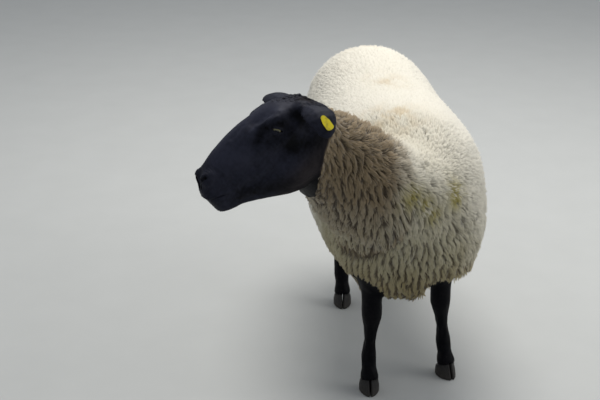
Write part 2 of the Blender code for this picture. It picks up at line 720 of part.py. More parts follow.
def anchors_of_flesh():
    hip = sway(0.62)
    places = {
        "head": head_point(0.09, 0.0, -0.05),
        "muzzle": head_point(0.26, 0.0, -0.01),
        "lower_jaw": head_point(0.26, 0.0, -0.085),
        "neck": Vector((-0.20, -0.15, 0.72)),
        "shoulders": Vector((0.0, 0.05, 0.52)),
        "barrel": Vector((0.0, 0.33, 0.54)),
        "rump": Vector((hip, 0.66, 0.66)),
        "tail": Vector((hip, 0.86, 0.65)),
        "thigh_left": Vector((hip + 0.12, 0.62, 0.42)),
        "thigh_right": Vector((hip - 0.12, 0.62, 0.42)),
    }
    for foot in FEET:
        side = foot.name.split("_")[1]
        if foot.hind:
            places["hock_" + side] = foot.places[3].lerp(foot.places[5], 0.5)
            places["hind_cannon_" + side] = foot.places[7]
        else:
            places["foreleg_" + side] = foot.places[6]
    return places


def ground_and_centre(nodes, guides):
    """Moves everything together, so that the origin is under the middle of the nodes, at floor level."""
    corners = [obj.matrix_world @ vertex.co for obj in nodes for vertex in obj.data.vertices]
    low = Vector([min(c[axis] for c in corners) for axis in range(3)])
    high = Vector([max(c[axis] for c in corners) for axis in range(3)])
    shift = Vector((-(low.x + high.x) / 2, -(low.y + high.y) / 2, -low.z))
    for obj in nodes + guides:
        obj.data.transform(Matrix.Translation(shift))
    print("size", [round(v, 4) for v in high - low], "shift", [round(v, 4) for v in shift])


def build():
    clear_scene()
    cutters = collection("cutters")
    ewe = collection("suffolk_ewe")
    black_hair = material("black hair", BLACK_HAIR, 0.62)
    fleece = material("fleece", FLEECE, 0.95)
    horn = material("horn", HORN, 0.45)
    wet_eye = material("eye", EYE_COLOUR, 0.08)
    plastic = material("tag plastic", TAG_YELLOW, 0.40)

    body = whole_body(ewe)
    left_ear = ear("ear_left", EAR_LEFT_AXIS, ewe, black_hair)
    right_ear = ear("ear_right", EAR_RIGHT_AXIS, ewe, black_hair)
    eyes = [eye("eye_left", 1, ewe, wet_eye), eye("eye_right", -1, ewe, wet_eye)]
    for neighbour in (left_ear, right_ear, *eyes):
        cut_away(body, inflated(neighbour, cutters, 2 * GAP))
    for foot in FEET:
        cut_away(body, foot_trim(foot, cutters))
        claw("claw_" + foot.name + "_outer", foot, False, ewe, horn)
        claw("claw_" + foot.name + "_inner", foot, True, ewe, horn)
    flag, stud, hole = ear_tag(ewe, plastic)
    cutters.objects.link(hole)
    ewe.objects.unlink(hole)
    cut_away(left_ear, hole)
    for cutter in cut_plates(cutters):
        cut_away(body, cutter)
    woolly = {"neck", "shoulders", "barrel", "rump", "tail", "thigh_left", "thigh_right"}
    part_flesh(body, ewe, anchors_of_flesh(), lambda name: fleece if name in woolly else black_hair)
    nodes = list(ewe.objects)
    ground_and_centre(nodes, list(cutters.objects))
    for obj in nodes:
        obj.data.shade_smooth()
        obj.data.set_sharp_from_angle(angle=math.radians(40))
    print("nodes", len(nodes), "triangles", sum(len(p.vertices) - 2 for o in nodes for p in o.data.polygons))


build()
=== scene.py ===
# %% [markdown]
# # A black-faced ewe, life size
# A full-grown ewe of a meat breed stands still, with her head turned to her right. She has a black face and
# black legs with short hair and a thick cream fleece, and wears one yellow tag in her left ear.
# The solids of the frame say how big she is and where everything lies. This script makes what the eye sees:
# one skin, many thousands of locks of wool over it, and the wet and hard parts set into it.

# %% The frame
import math

import bmesh
import bpy
import numpy as np
from mathutils import Matrix, Vector
from mathutils.bvhtree import BVHTree
from mathutils.kdtree import KDTree


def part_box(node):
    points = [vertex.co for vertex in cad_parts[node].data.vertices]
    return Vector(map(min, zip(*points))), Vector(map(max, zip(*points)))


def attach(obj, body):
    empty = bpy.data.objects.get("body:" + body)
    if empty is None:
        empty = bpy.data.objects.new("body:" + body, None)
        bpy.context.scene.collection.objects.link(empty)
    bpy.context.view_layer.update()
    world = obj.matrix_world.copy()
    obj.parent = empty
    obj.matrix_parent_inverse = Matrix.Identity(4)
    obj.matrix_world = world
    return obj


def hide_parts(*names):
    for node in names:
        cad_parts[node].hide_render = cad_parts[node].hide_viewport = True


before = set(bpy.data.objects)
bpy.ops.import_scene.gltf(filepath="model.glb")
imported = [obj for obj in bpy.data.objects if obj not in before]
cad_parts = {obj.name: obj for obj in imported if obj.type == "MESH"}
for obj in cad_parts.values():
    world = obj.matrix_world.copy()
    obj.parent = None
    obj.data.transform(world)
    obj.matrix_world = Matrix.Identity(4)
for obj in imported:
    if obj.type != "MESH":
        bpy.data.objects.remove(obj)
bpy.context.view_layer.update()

# %% [markdown]
# ## The head's own axes
# Everything on a head is easiest to place in the head's own directions: along the face from the poll to the
# lips, out to the animal's left, and up from the line of the face. The middle of the two eyes places the
# head, and three angles say how it is carried.

# %% Head axes
HEAD_TURN = math.radians(202.0)
HEAD_PITCH = math.radians(33.3)
HEAD_ROLL = math.radians(10.0)
EYE_ALONG = 0.102            # from the poll to the middle of the eyes


def centre_of(node):
    low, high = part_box(node)
    return (low + high) / 2


FACE = Vector((math.cos(HEAD_PITCH) * math.cos(HEAD_TURN),
               math.cos(HEAD_PITCH) * math.sin(HEAD_TURN), -math.sin(HEAD_PITCH)))
LEVEL_LEFT = Vector((0, 0, 1)).cross(FACE).normalized()
LEFT = LEVEL_LEFT * math.cos(HEAD_ROLL) + FACE.cross(LEVEL_LEFT).normalized() * math.sin(HEAD_ROLL)
UP = FACE.cross(LEFT).normalized()
EYES = {side: centre_of(f"eye_{side}") for side in ("left", "right")}
POLL = (EYES["left"] + EYES["right"]) / 2 - FACE * EYE_ALONG
HEAD_AXES = np.array([FACE, LEFT, UP])
print("poll", [round(x, 3) for x in POLL])


def in_head(points):
    """Places as (along, left, up) in the head's own frame."""
    return (points - np.array(POLL)) @ HEAD_AXES.T


def from_head(places):
    return np.asarray(places) @ HEAD_AXES + np.array(POLL)


# %% [markdown]
# ## Camera, floor and light
# The camera stands a little above a person's eye line and looks down at the ewe from in front of her right
# shoulder. The light is broad and soft. One lamp hangs high behind her and a weaker one stands on her left,
# so that her back is bright and her chest lies in soft shade, and a pale floor and a pale room lift the
# shadows.

# %% Camera
CAMERA_PLACE = Vector((-0.4173, -2.9761, 1.75))
CAMERA_LENS = 68.04
CAMERA_YAW = math.radians(5.86)
CAMERA_PITCH = math.radians(23.02)

forward = Vector((math.cos(CAMERA_PITCH) * math.sin(CAMERA_YAW),
                  math.cos(CAMERA_PITCH) * math.cos(CAMERA_YAW), -math.sin(CAMERA_PITCH)))
camera = bpy.data.objects.new("camera", bpy.data.cameras.new("camera"))
camera.data.lens = CAMERA_LENS
camera.data.sensor_width = 36.0
camera.location = CAMERA_PLACE
camera.rotation_euler = forward.to_track_quat("-Z", "Y").to_euler()
bpy.context.scene.collection.objects.link(camera)
bpy.context.scene.camera = camera
print("camera looks along", [round(x, 3) for x in forward])

# %% Light
def soft_light(name, place, target, size, power, colour):
    lamp = bpy.data.objects.new(name, bpy.data.lights.new(name, "AREA"))
    lamp.data.shape = "DISK"
    lamp.data.size = size
    lamp.data.energy = power
    lamp.data.color = colour
    lamp.location = place
    lamp.rotation_euler = (Vector(target) - Vector(place)).to_track_quat("-Z", "Y").to_euler()
    bpy.context.scene.collection.objects.link(lamp)


ROOM_COLOUR = (0.86, 0.90, 0.95, 1.0)
ROOM_STRENGTH = 0.42

soft_light("key_light", (0.4, 1.4, 3.9), (0.1, 0.0, 0.6), 2.4, 112.0, (1.0, 0.98, 0.94))
soft_light("side_light", (3.4, -0.6, 2.2), (0.2, -0.1, 0.6), 2.4, 30.0, (1.0, 0.99, 0.97))
room = bpy.data.worlds.new("room")
room.use_nodes = True
room.node_tree.nodes["Background"].inputs["Color"].default_value = ROOM_COLOUR
room.node_tree.nodes["Background"].inputs["Strength"].default_value = ROOM_STRENGTH
bpy.context.scene.world = room
bpy.context.scene.view_settings.view_transform = "Standard"
print("two lamps in a room of strength", ROOM_STRENGTH)

# %% [markdown]
# ## Writing materials
# A shader is a small graph of nodes. Two helpers keep it readable: `Signal` is a number that varies over a
# surface, so that `mask * 0.5 + grain` adds the Math nodes by itself, and `Finish` is one material with one
# method for every other node.

# %% Signals
class Signal:
    """A number that varies over a surface. Arithmetic on it adds Math nodes."""

    def __init__(self, tree, socket):
        self.tree = tree
        self.socket = socket

    def math(self, operation, other, swapped=False):
        node = self.tree.nodes.new("ShaderNodeMath")
        node.operation = operation
        pair = (other, self) if swapped else (self, other)
        for slot, value in zip(node.inputs, pair):
            if isinstance(value, Signal):
                self.tree.links.new(value.socket, slot)
            else:
                slot.default_value = value
        return Signal(self.tree, node.outputs[0])

    def __add__(self, other):
        return self.math("ADD", other)

    __radd__ = __add__

    def __sub__(self, other):
        return self.math("SUBTRACT", other)

    def __rsub__(self, other):
        return self.math("SUBTRACT", other, swapped=True)

    def __mul__(self, other):
        return self.math("MULTIPLY", other)

    __rmul__ = __mul__

    def clipped(self):
        return self.math("MAXIMUM", 0.0).math("MINIMUM", 1.0)


print("signals can be added, subtracted, multiplied and clipped")

# %% Finishes
class Finish:
    """One material: its Principled shader, and a method that adds any other node."""

    def __init__(self, name, **constants):
        self.material = bpy.data.materials.new(name)
        self.material.use_nodes = True
        self.tree = self.material.node_tree
        self.shader = self.tree.nodes["Principled BSDF"]
        for socket, value in constants.items():
            self.shader.inputs[socket.replace("_", " ")].default_value = value

    def node(self, kind, settings=None, inputs=None, output=0):
        node = self.tree.nodes.new("ShaderNode" + kind)
        for key, value in (settings or {}).items():
            setattr(node, key, value)
        for key, value in (inputs or {}).items():
            if isinstance(value, Signal):
                self.tree.links.new(value.socket, node.inputs[key])
            else:
                node.inputs[key].default_value = value
        return Signal(self.tree, node.outputs[output])

    def place(self, stretch=(1.0, 1.0, 1.0), turn=(0.0, 0.0, 0.0)):
        """Object coordinates, turned and then scaled along the turned axes."""
        coordinates = self.node("TexCoord", output="Object")
        turned = self.node("Mapping", {"vector_type": "TEXTURE"}, {"Vector": coordinates, "Rotation": turn})
        return self.node("Mapping", None, {"Vector": turned, "Scale": stretch})

    def noise(self, where, scale, detail=3.0):
        return self.node("TexNoise", None, {"Vector": where, "Scale": scale, "Detail": detail,
                                            "Roughness": 0.55})

    def attribute(self, name):
        return self.node("Attribute", {"attribute_name": name}, output="Fac")

    def range(self, value, low, high, to_low=0.0, to_high=1.0):
        return self.node("MapRange", None, {"Value": value, "From Min": low, "From Max": high,
                                            "To Min": to_low, "To Max": to_high})

    def mix(self, share, first, second):
        """Two colours, each plain or a signal, mixed by a share. Sockets 6 and 7 take the colours."""
        node = self.tree.nodes.new("ShaderNodeMix")
        node.data_type = "RGBA"
        for key, value in ((0, share), (6, first), (7, second)):
            if isinstance(value, Signal):
                self.tree.links.new(value.socket, node.inputs[key])
            else:
                node.inputs[key].default_value = value if key == 0 else (*value, 1.0)
        return Signal(self.tree, node.outputs[2])

    def drive(self, socket, value):
        self.tree.links.new(value.socket, self.shader.inputs[socket])

    def bump(self, height, strength, distance):
        self.drive("Normal", self.node("Bump", None, {"Height": height, "Strength": strength,
                                                      "Distance": distance}))


print("a finish can place, make noise, read attributes, remap, mix, drive and bump")

# %% [markdown]
# ## Floor
# A large plain pale floor. It stands for no real ground, so it only needs a faint unevenness in its colour.

# %% Floor
FLOOR_SIZE = 40.0
FLOOR_COLOURS = ((0.54, 0.55, 0.54), (0.58, 0.59, 0.58))


def new_piece(name, bm, finish=None):
    """An object at the origin from a bmesh, shaded smooth."""
    mesh = bpy.data.meshes.new(name)
    bm.to_mesh(mesh)
    bm.free()
    mesh.shade_smooth()
    if finish:
        mesh.materials.append(finish.material)
    piece = bpy.data.objects.new(name, mesh)
    bpy.context.scene.collection.objects.link(piece)
    return piece


floor_finish = Finish("pale_floor", Roughness=0.85)
speck = floor_finish.noise(floor_finish.place(), 6.0)
floor_finish.drive("Base Color", floor_finish.mix(speck, *FLOOR_COLOURS))
bm = bmesh.new()
bmesh.ops.create_grid(bm, x_segments=2, y_segments=2, size=FLOOR_SIZE / 2)
floor = new_piece("floor", bm, floor_finish)
print("floor", FLOOR_SIZE, "m across")

# %% [markdown]
# ## One skin from the solids
# The frame parts the flesh into eighteen solids with hair-thin cuts. A real ewe is one skin, so the solids
# are joined and remeshed as one closed surface on a fine grid. Each solid is first swollen by less than a
# millimetre to close the cuts, and plain balls fill the eye sockets and the hole for the tag, so that the
# skin closes over them and the lids can be shaped later.

# %% Join the flesh
SKIN_GRID = 0.0028
SAME_POINT = 0.00002                     # points of a solid closer than this are one
SEAM_SWELL = 0.0007
EYE_FILL = 0.0152
TAG_FILL = 0.0032
HARD = ("claw_", "eye_", "ear_tag")
FLESH = [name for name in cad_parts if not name.startswith(HARD)]


def welded(node):
    """A solid's loose triangles as a bmesh that hangs together."""
    bm = bmesh.new()
    bm.from_mesh(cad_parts[node].data)
    bmesh.ops.remove_doubles(bm, verts=bm.verts, dist=SAME_POINT)
    return bm


def settle(piece):
    """Works the piece's modifiers into its mesh."""
    bpy.context.view_layer.update()
    graph = bpy.context.evaluated_depsgraph_get()
    mesh = bpy.data.meshes.new_from_object(piece.evaluated_get(graph))
    piece.modifiers.clear()
    piece.data = mesh


def remesh(piece, grid):
    """Makes the piece one closed surface on a grid of this size."""
    one_skin = piece.modifiers.new("one_skin", "REMESH")
    one_skin.mode = "VOXEL"
    one_skin.voxel_size = grid
    settle(piece)


bm = bmesh.new()
for name in FLESH:
    part = welded(name)
    part.normal_update()
    for vertex in part.verts:
        vertex.co += vertex.normal * SEAM_SWELL
    swollen = bpy.data.meshes.new("swollen")
    part.to_mesh(swollen)
    part.free()
    bm.from_mesh(swollen)
    bpy.data.meshes.remove(swollen)
fills = [(place, EYE_FILL) for place in EYES.values()] + [(centre_of("ear_tag_stud"), TAG_FILL)]
for place, radius in fills:
    bmesh.ops.create_uvsphere(bm, u_segments=32, v_segments=16, radius=radius,
                              matrix=Matrix.Translation(place))
skin = new_piece("skin", bm)
remesh(skin, SKIN_GRID)
print("one skin", len(skin.data.vertices), "points")

# %% [markdown]
# ## Where the wool grows
# The black hair of the face ends behind the jaw and ears along one bowed line. The wool ends in a hem under
# the chest, where the forelegs leave it, and in another on the thighs, just above the hocks. One function
# answers, for any place, how woolly it is from 0 to 1. The skin, the coat and every marking ask the same
# function, so they agree.

# %% Where the face's hair ends
BORDER_TOP = np.array([-0.026, -0.088])      # along and up, where the border leaves the ears
BORDER_FOOT = np.array([0.106, -0.235])      # and where it reaches the throat
BORDER_BOW = 0.027                           # how far the wool bows forward between the two


def smooth(value, low, high):
    share = np.clip((value - low) / (high - low), 0.0, 1.0)
    return share * share * (3.0 - 2.0 * share)


def ripple(points, size, seed=0.0):
    """A soft, repeatable wave pattern between -1 and 1 with bumps about size across."""
    x, y, z = (points * (2 * math.pi / size) + seed).T
    first = np.sin(x + 1.3 * np.sin(y * 0.83 + seed)) * np.cos(z * 0.91 + 0.7 * np.sin(x))
    second = np.sin(y * 1.17 + 1.1 * np.cos(z * 0.77)) * np.cos(x * 0.89 + 2.1)
    return 0.5 * (first + second)


def behind_border(points):
    """How far a place lies behind the line where the face's black hair ends, in metres."""
    head = in_head(points)
    line = BORDER_FOOT - BORDER_TOP
    length = np.linalg.norm(line)
    across = np.array([line[1], -line[0]]) / length
    offset = head[:, [0, 2]] - BORDER_TOP
    share = np.clip(offset @ line / length ** 2, 0.0, 1.0)
    return offset @ across + BORDER_BOW * np.sin(math.pi * share)


print("the face's border runs", round(math.dist(BORDER_TOP, BORDER_FOOT), 3), "m from ear to throat")

# %% Where the legs' hair ends
FORELEGS = ((0.264, -0.202), (0.060, -0.262))   # the middle of each foreleg where it enters the chest
HEM_ACROSS = (-0.05, 0.01, 0.04, 0.07, 0.10, 0.125, 0.15, 0.17, 0.19, 0.21, 0.30)
HEM_HEIGHT = (0.395, 0.395, 0.380, 0.358, 0.318, 0.280, 0.290, 0.318, 0.354, 0.394, 0.398)
BREAST_HEM = 0.385                           # in front of the left foreleg
CHEST_HEM = 0.250                            # lower than the belly, which is all wool
HIND_HEM = 0.345
HIND_LEGS = [centre_of(f"hock_{side}") for side in ("left", "right")]
LEG_REACH = 0.070                            # how far from a hind leg's middle its hem counts


def hem_height(points):
    """The height at which wool gives way to black hair: at the legs' hems, or lower than any wool."""
    hem = np.interp(points[:, 0], HEM_ACROSS, HEM_HEIGHT)
    behind = points[:, 1] - np.interp(points[:, 0], [0.10, 0.20], [FORELEGS[1][1], FORELEGS[0][1]])
    hem += (CHEST_HEM - hem) * smooth(behind, 0.012, 0.045)
    hem += (BREAST_HEM - hem) * smooth(-behind, 0.055, 0.085) * smooth(points[:, 0], 0.17, 0.21)
    for middle in HIND_LEGS:
        away = np.hypot(points[:, 0] - middle.x, points[:, 1] - middle.y)
        close = 1.0 - smooth(away, LEG_REACH, 1.5 * LEG_REACH)
        hem = np.maximum(hem, CHEST_HEM + (HIND_HEM - CHEST_HEM) * close)
    return hem


def woolly(points, softness=0.006):
    """1 in wool, 0 in black hair, with a rippled edge between."""
    neck = smooth(behind_border(points) + 0.003 * ripple(points, 0.045), -softness, softness)
    hem = hem_height(points) + 0.004 * ripple(points, 0.05, 2.0)
    return neck * smooth(points[:, 2] - hem, -softness, softness)


print("hind legs at", [[round(x, 3) for x in middle] for middle in HIND_LEGS])

# %% [markdown]
# ## Relaxing
# Moving each point towards the middle of its neighbours takes the facets of the solids away, and a step back
# after each round keeps the flesh from shrinking. Reading all points of a mesh at once into an array makes
# this quick.

# %% Points, edges and relaxing
STEP_BACK = 1.04                         # as a share of the step forward


def points_of(mesh):
    flat = np.empty(len(mesh.vertices) * 3, np.float32)
    mesh.vertices.foreach_get("co", flat)
    return flat.reshape(-1, 3).astype(float)


def set_points(mesh, points):
    mesh.vertices.foreach_set("co", points.astype(np.float32).ravel())
    mesh.update()


def normals_of(mesh):
    flat = np.empty(len(mesh.vertices) * 3, np.float32)
    mesh.vertex_normals.foreach_get("vector", flat)
    return flat.reshape(-1, 3).astype(float)


def edges_of(mesh):
    flat = np.empty(len(mesh.edges) * 2, np.int64)
    mesh.edges.foreach_get("vertices", flat)
    return flat.reshape(-1, 2)


def relax(points, edges, share, rounds):
    """Each point moves towards the middle of its neighbours, by its share, so many times."""
    count = len(points)
    ends = np.concatenate([edges, edges[:, ::-1]])
    neighbours = np.maximum(np.bincount(ends[:, 0], minlength=count), 1)
    for _ in range(rounds):
        middle = np.stack([np.bincount(ends[:, 0], points[ends[:, 1], axis], count) for axis in range(3)], 1)
        points = points + (middle / neighbours[:, None] - points) * share[:, None]
    return points


def kept_relax(points, edges, share, rounds):
    """Relaxes with a step back after each round, so that the flesh doesn't shrink."""
    for _ in range(rounds):
        points = relax(points, edges, share, 1)
        points = relax(points, edges, -STEP_BACK * share, 1)
    return points


places = points_of(skin.data)
set_points(skin.data, kept_relax(places, edges_of(skin.data), np.full(len(places), 0.5), 4))
print("relaxed", len(places), "points")

# %% [markdown]
# ## Spend the triangles where they show
# The fleece hides the skin of the body, so there the mesh can be coarse, while the face needs all of it.
# The Decimate modifier takes a vertex group: only the points in it are thinned.

# %% Thin the skin under the wool
WOOL_TRIANGLES = 36000
LEG_TRIANGLES = 24000
LEG_TOP = 0.40                           # hair below this height is on a leg


def thin(piece, chosen, triangles_left):
    """Decimates only the chosen points of the piece, to about so many triangles there."""
    group = piece.vertex_groups.new(name="chosen")
    group.add(np.flatnonzero(chosen).tolist(), 1.0, "REPLACE")
    mesh = piece.data
    mesh.calc_loop_triangles()
    corners = np.empty(len(mesh.loop_triangles) * 3, np.int64)
    mesh.loop_triangles.foreach_get("vertices", corners)
    inside = chosen[corners.reshape(-1, 3)].any(axis=1).sum()
    total = len(mesh.loop_triangles)
    fewer = piece.modifiers.new("fewer", "DECIMATE")
    fewer.ratio = (total - inside + triangles_left) / total
    fewer.vertex_group = "chosen"
    settle(piece)
    piece.vertex_groups.clear()


thin(skin, woolly(points_of(skin.data)) > 0.99, WOOL_TRIANGLES)
places = points_of(skin.data)
thin(skin, (woolly(places) < 0.5) & (places[:, 2] < LEG_TOP), LEG_TRIANGLES)
print("thinned skin", len(skin.data.polygons), "faces")

# %% [markdown]
# ## Smooth the skin and lower it under the wool
# The facets of the solids are relaxed away, gently on the face and legs and for many rounds on the body.
# Then the skin is lowered by the depth of the coat: a finger's breadth of fleece on the body, almost nothing
# on the face and legs.

# %% Depth of the coat
FLEECE_DEPTH = 0.014
NECK_EXTRA = 0.006
TAIL_DEPTH = 0.008
HAIR_DEPTH = 0.0012
TAIL_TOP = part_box("tail")[1]
TAIL_FOOT = TAIL_TOP.y - 0.085           # how far back the tail starts
TAIL_FULL = TAIL_TOP.y - 0.050           # and where its coat is as thin as on its tip
TAIL_HALF_WIDTH = 0.05
TAIL_MIDDLE = centre_of("tail").x
NECK_MIDDLE = np.array(centre_of("neck"))
EAR_ROOT_OUT = 0.066


def on_ears(points):
    head = in_head(points)
    on_ear_side = smooth(np.abs(head[:, 1]), EAR_ROOT_OUT, EAR_ROOT_OUT + 0.012)
    return on_ear_side * (head[:, 2] > -0.085) * (head[:, 0] < 0.09)


def coat_depth(points):
    wool = woolly(points)
    room = smooth(points[:, 2] - hem_height(points), -0.01, 0.10) * 0.60 + 0.40
    edge = smooth(behind_border(points), -0.01, 0.05) * 0.65 + 0.35
    neck = 1.0 - smooth(np.linalg.norm(points - NECK_MIDDLE, axis=1), 0.12, 0.26)
    depth = (FLEECE_DEPTH + NECK_EXTRA * neck) * room * edge
    tail = smooth(points[:, 1], TAIL_FOOT, TAIL_FULL) * (np.abs(points[:, 0] - TAIL_MIDDLE) < TAIL_HALF_WIDTH)
    depth = depth + (TAIL_DEPTH - depth) * tail * (points[:, 2] < TAIL_TOP.z)
    return HAIR_DEPTH * (1.0 - on_ears(points)) + (depth - HAIR_DEPTH) * wool


print("tail starts at", round(TAIL_FOOT, 3), "and its top is at", round(TAIL_TOP.z, 3))

# %% Lower the skin
BODY_ROUNDS = 45                         # rounds of relaxing that take the facets off the body
SMALL_ROUNDS = 9                         # and off the tail and the thighs' hems
FOREARM_FOOT = (0.262, 0.285)            # the heights between which the drawing in starts
FOREARM_TOP = 0.45
FOREARM_REACH = 0.32                     # no part of a foreleg is further from its middle
FOREARM_RADIUS = 0.031                   # at FOREARM_RADIUS_AT, and growing upwards by FOREARM_FLARE
FOREARM_RADIUS_AT = 0.28
FOREARM_FLARE = 0.05
CHEST_BACK = -0.10


def forearms(points):
    """Draws the flesh below the wool's front hem in to the round of each upper foreleg."""
    points = points.copy()
    for x, y in FORELEGS:
        offset = points[:, :2] - (x, y)
        away = np.maximum(np.linalg.norm(offset, axis=1), 1e-6)
        reach = FOREARM_RADIUS + FOREARM_FLARE * (points[:, 2] - FOREARM_RADIUS_AT)
        drawn = np.minimum(away, reach + 0.08 * (away - reach))
        others = np.linalg.norm(points[:, :2] - np.array(FORELEGS).sum(axis=0) + (x, y), axis=1)
        share = (1.0 - woolly(points, 0.004)) * (away < others) * (away < FOREARM_REACH)
        share = share * smooth(points[:, 2], *FOREARM_FOOT) * (points[:, 2] < FOREARM_TOP)
        points[:, :2] += offset * ((drawn / away - 1.0) * share)[:, None]
    return points


edges = edges_of(skin.data)
places = points_of(skin.data)
wool = woolly(places)
places = kept_relax(places, edges, 0.5 - 0.3 * on_ears(places), 12)
places = kept_relax(places, edges, 0.5 * wool, 30)
thick = (places[:, 1] < TAIL_FOOT) * smooth(places[:, 2], 0.40, 0.55)
places = relax(places, edges, 0.5 * wool * thick, BODY_ROUNDS)
places = relax(places, edges, 0.5 * wool * (1.0 - thick), SMALL_ROUNDS)
set_points(skin.data, places)
places = places - normals_of(skin.data) * coat_depth(places)[:, None]
places = relax(places, edges, 0.5 * wool, 2)
low = (places[:, 2] < 0.42) & (places[:, 2] > 0.265) & (places[:, 1] < CHEST_BACK) & (woolly(places) < 0.9)
places = relax(forearms(places), edges, 0.5 * low, 14)
set_points(skin.data, places)
print("skin lowered by up to", round(float(coat_depth(places).max()), 4))

# %% [markdown]
# ## Finer mesh for eyes, nose and lips
# Lids and nostrils need points less than a millimetre apart. Cutting the edges in just those places keeps
# the rest of the head as it is.

# %% Refine
EYE_MIDDLE = {side: in_head(np.array([place]))[0] for side, place in EYES.items()}
EYE_OUT = abs(float(EYE_MIDDLE["left"][1]))


def refine(piece, chosen_of):
    """Cuts every edge between two chosen points in half."""
    bm = bmesh.new()
    bm.from_mesh(piece.data)
    chosen = chosen_of(points_of(piece.data))
    bm.verts.ensure_lookup_table()
    edges = [edge for edge in bm.edges if chosen[edge.verts[0].index] and chosen[edge.verts[1].index]]
    bmesh.ops.subdivide_edges(bm, edges=edges, cuts=1, use_grid_fill=True)
    bmesh.ops.triangulate(bm, faces=[face for face in bm.faces if len(face.verts) > 4])
    bm.to_mesh(piece.data)
    bm.free()
    piece.data.shade_smooth()


def near_eyes(radius):
    def chosen(points):
        head = in_head(points)
        flat = np.hypot(head[:, 0] - EYE_ALONG, head[:, 2])
        return (flat < radius) & (np.abs(head[:, 1]) > EYE_OUT - 0.012)
    return chosen


def near_lips(points):
    head = in_head(points)
    return (head[:, 0] > 0.262) & (np.abs(head[:, 1]) < 0.08)


refine(skin, near_eyes(0.030))
refine(skin, near_eyes(0.0175))
refine(skin, near_lips)
places = points_of(skin.data)
head = in_head(places)
near = np.exp(-(np.hypot(head[:, 0] - EYE_ALONG, head[:, 2]) / 0.02) ** 2) + near_lips(places)
set_points(skin.data, kept_relax(places, edges_of(skin.data), 0.5 * np.minimum(near, 1.0), 6))
print("refined skin", len(skin.data.polygons), "faces")

# %% [markdown]
# ## Model the face
# Each fold or ridge is a stroke: a short path in the head's frame, how wide it is and how far it raises or
# sinks the skin. Bone lies close under a sheep's face, so the strokes follow it: the brow over the eye, the
# tear pit in front of it, the cheek arch with a hollow below, and small wrinkles over the nose.

# %% Strokes
STROKES = (
    # height, width, path of (along, out, up)
    # side of the forehead, brow, fold under the brow, tear pit
    (-0.0085, 0.0190, ((0.124, 0.036, 0.044), (0.092, 0.045, 0.044))),
    (0.0024, 0.0085, ((0.122, 0.048, 0.030), (0.104, 0.057, 0.029), (0.084, 0.062, 0.020),
                      (0.068, 0.063, 0.004))),
    (-0.0030, 0.0055, ((0.122, 0.055, 0.020), (0.104, 0.064, 0.017), (0.086, 0.065, 0.007))),
    (-0.0050, 0.0085, ((0.124, 0.050, 0.019), (0.136, 0.046, 0.014), (0.150, 0.044, 0.006))),
    # bone beside the bridge of the nose, pad below the tear pit, cheek arch
    (0.0034, 0.0080, ((0.132, 0.040, 0.031), (0.146, 0.038, 0.026), (0.172, 0.036, 0.018))),
    (0.0026, 0.0080, ((0.124, 0.056, 0.002), (0.142, 0.051, -0.006), (0.160, 0.048, -0.012))),
    (0.0036, 0.0100, ((0.170, 0.050, -0.014), (0.140, 0.056, -0.022), (0.112, 0.061, -0.030),
                      (0.082, 0.064, -0.030), (0.056, 0.064, -0.028))),
    # hollow below the cheek arch, hollow before the ear, round of the jaw
    (-0.0050, 0.0120, ((0.128, 0.058, -0.050), (0.096, 0.062, -0.056), (0.066, 0.062, -0.074))),
    (-0.0040, 0.0110, ((0.062, 0.066, -0.006), (0.052, 0.066, -0.030), (0.046, 0.062, -0.060))),
    (0.0040, 0.0240, ((0.112, 0.056, -0.100), (0.084, 0.058, -0.120))),
    # hollow beside the nose, hollow above the jaw
    (-0.0040, 0.0120, ((0.196, 0.042, -0.036), (0.240, 0.036, -0.022))),
    (-0.0034, 0.0100, ((0.170, 0.046, -0.080), (0.205, 0.040, -0.070), (0.240, 0.034, -0.064))),
    # the nostril's upper and lower wing, dip over the nose pad
    (0.0022, 0.0080, ((0.298, 0.026, 0.020), (0.288, 0.033, 0.022), (0.276, 0.036, 0.016))),
    (0.0022, 0.0070, ((0.302, 0.033, -0.002), (0.290, 0.039, 0.003), (0.278, 0.040, 0.006))),
    (-0.0048, 0.0130, ((0.310, 0.000, 0.008), (0.300, 0.000, 0.022))),
    # upper lip and its groove, chin, hollow behind the chin
    (0.0036, 0.0130, ((0.318, 0.000, -0.022), (0.314, 0.016, -0.022))),
    (-0.0018, 0.0032, ((0.322, 0.000, -0.032), (0.320, 0.000, -0.014), (0.311, 0.000, 0.002))),
    (0.0050, 0.0150, ((0.300, 0.000, -0.078), (0.278, 0.010, -0.088))),
    (-0.0030, 0.0090, ((0.252, 0.030, -0.092), (0.225, 0.030, -0.104))),
    # two that flatten the poll, groove along the bridge of the nose
    (-0.0110, 0.0230, ((0.026, 0.000, 0.036), (0.000, 0.000, 0.024), (-0.034, 0.000, 0.004))),
    (-0.0085, 0.0220, ((-0.004, 0.000, 0.006), (-0.030, 0.010, -0.022))),
    (-0.0016, 0.0045, ((0.190, 0.020, 0.040), (0.150, 0.016, 0.046))),
)
print(len(STROKES), "strokes")

# %% Relief of the face
WRINKLES = ((0.285, 0.024, 0.026), (0.262, 0.030, 0.020))
WRINKLES_WIDTH = 0.014
WRINKLE_HEIGHT = 0.00030
WRINKLE_GAP = 0.0062


def stroke_distance(head, path):
    """How far each place is from a path that runs alike on both sides of the head."""
    both = head * [1, 0, 1] + np.abs(head) * [0, 1, 0]
    nearest = np.full(len(head), 1.0)
    for start, end in zip(path, path[1:]):
        start, end = np.array(start), np.array(end)
        run = end - start
        share = np.clip((both - start) @ run / (run @ run), 0.0, 1.0)
        nearest = np.minimum(nearest, np.linalg.norm(both - start - share[:, None] * run, axis=1))
    return nearest


def stroke(head, path, width):
    """1 on a path, fading softly to 0 over its width."""
    return np.exp(-(stroke_distance(head, path) / width) ** 2)


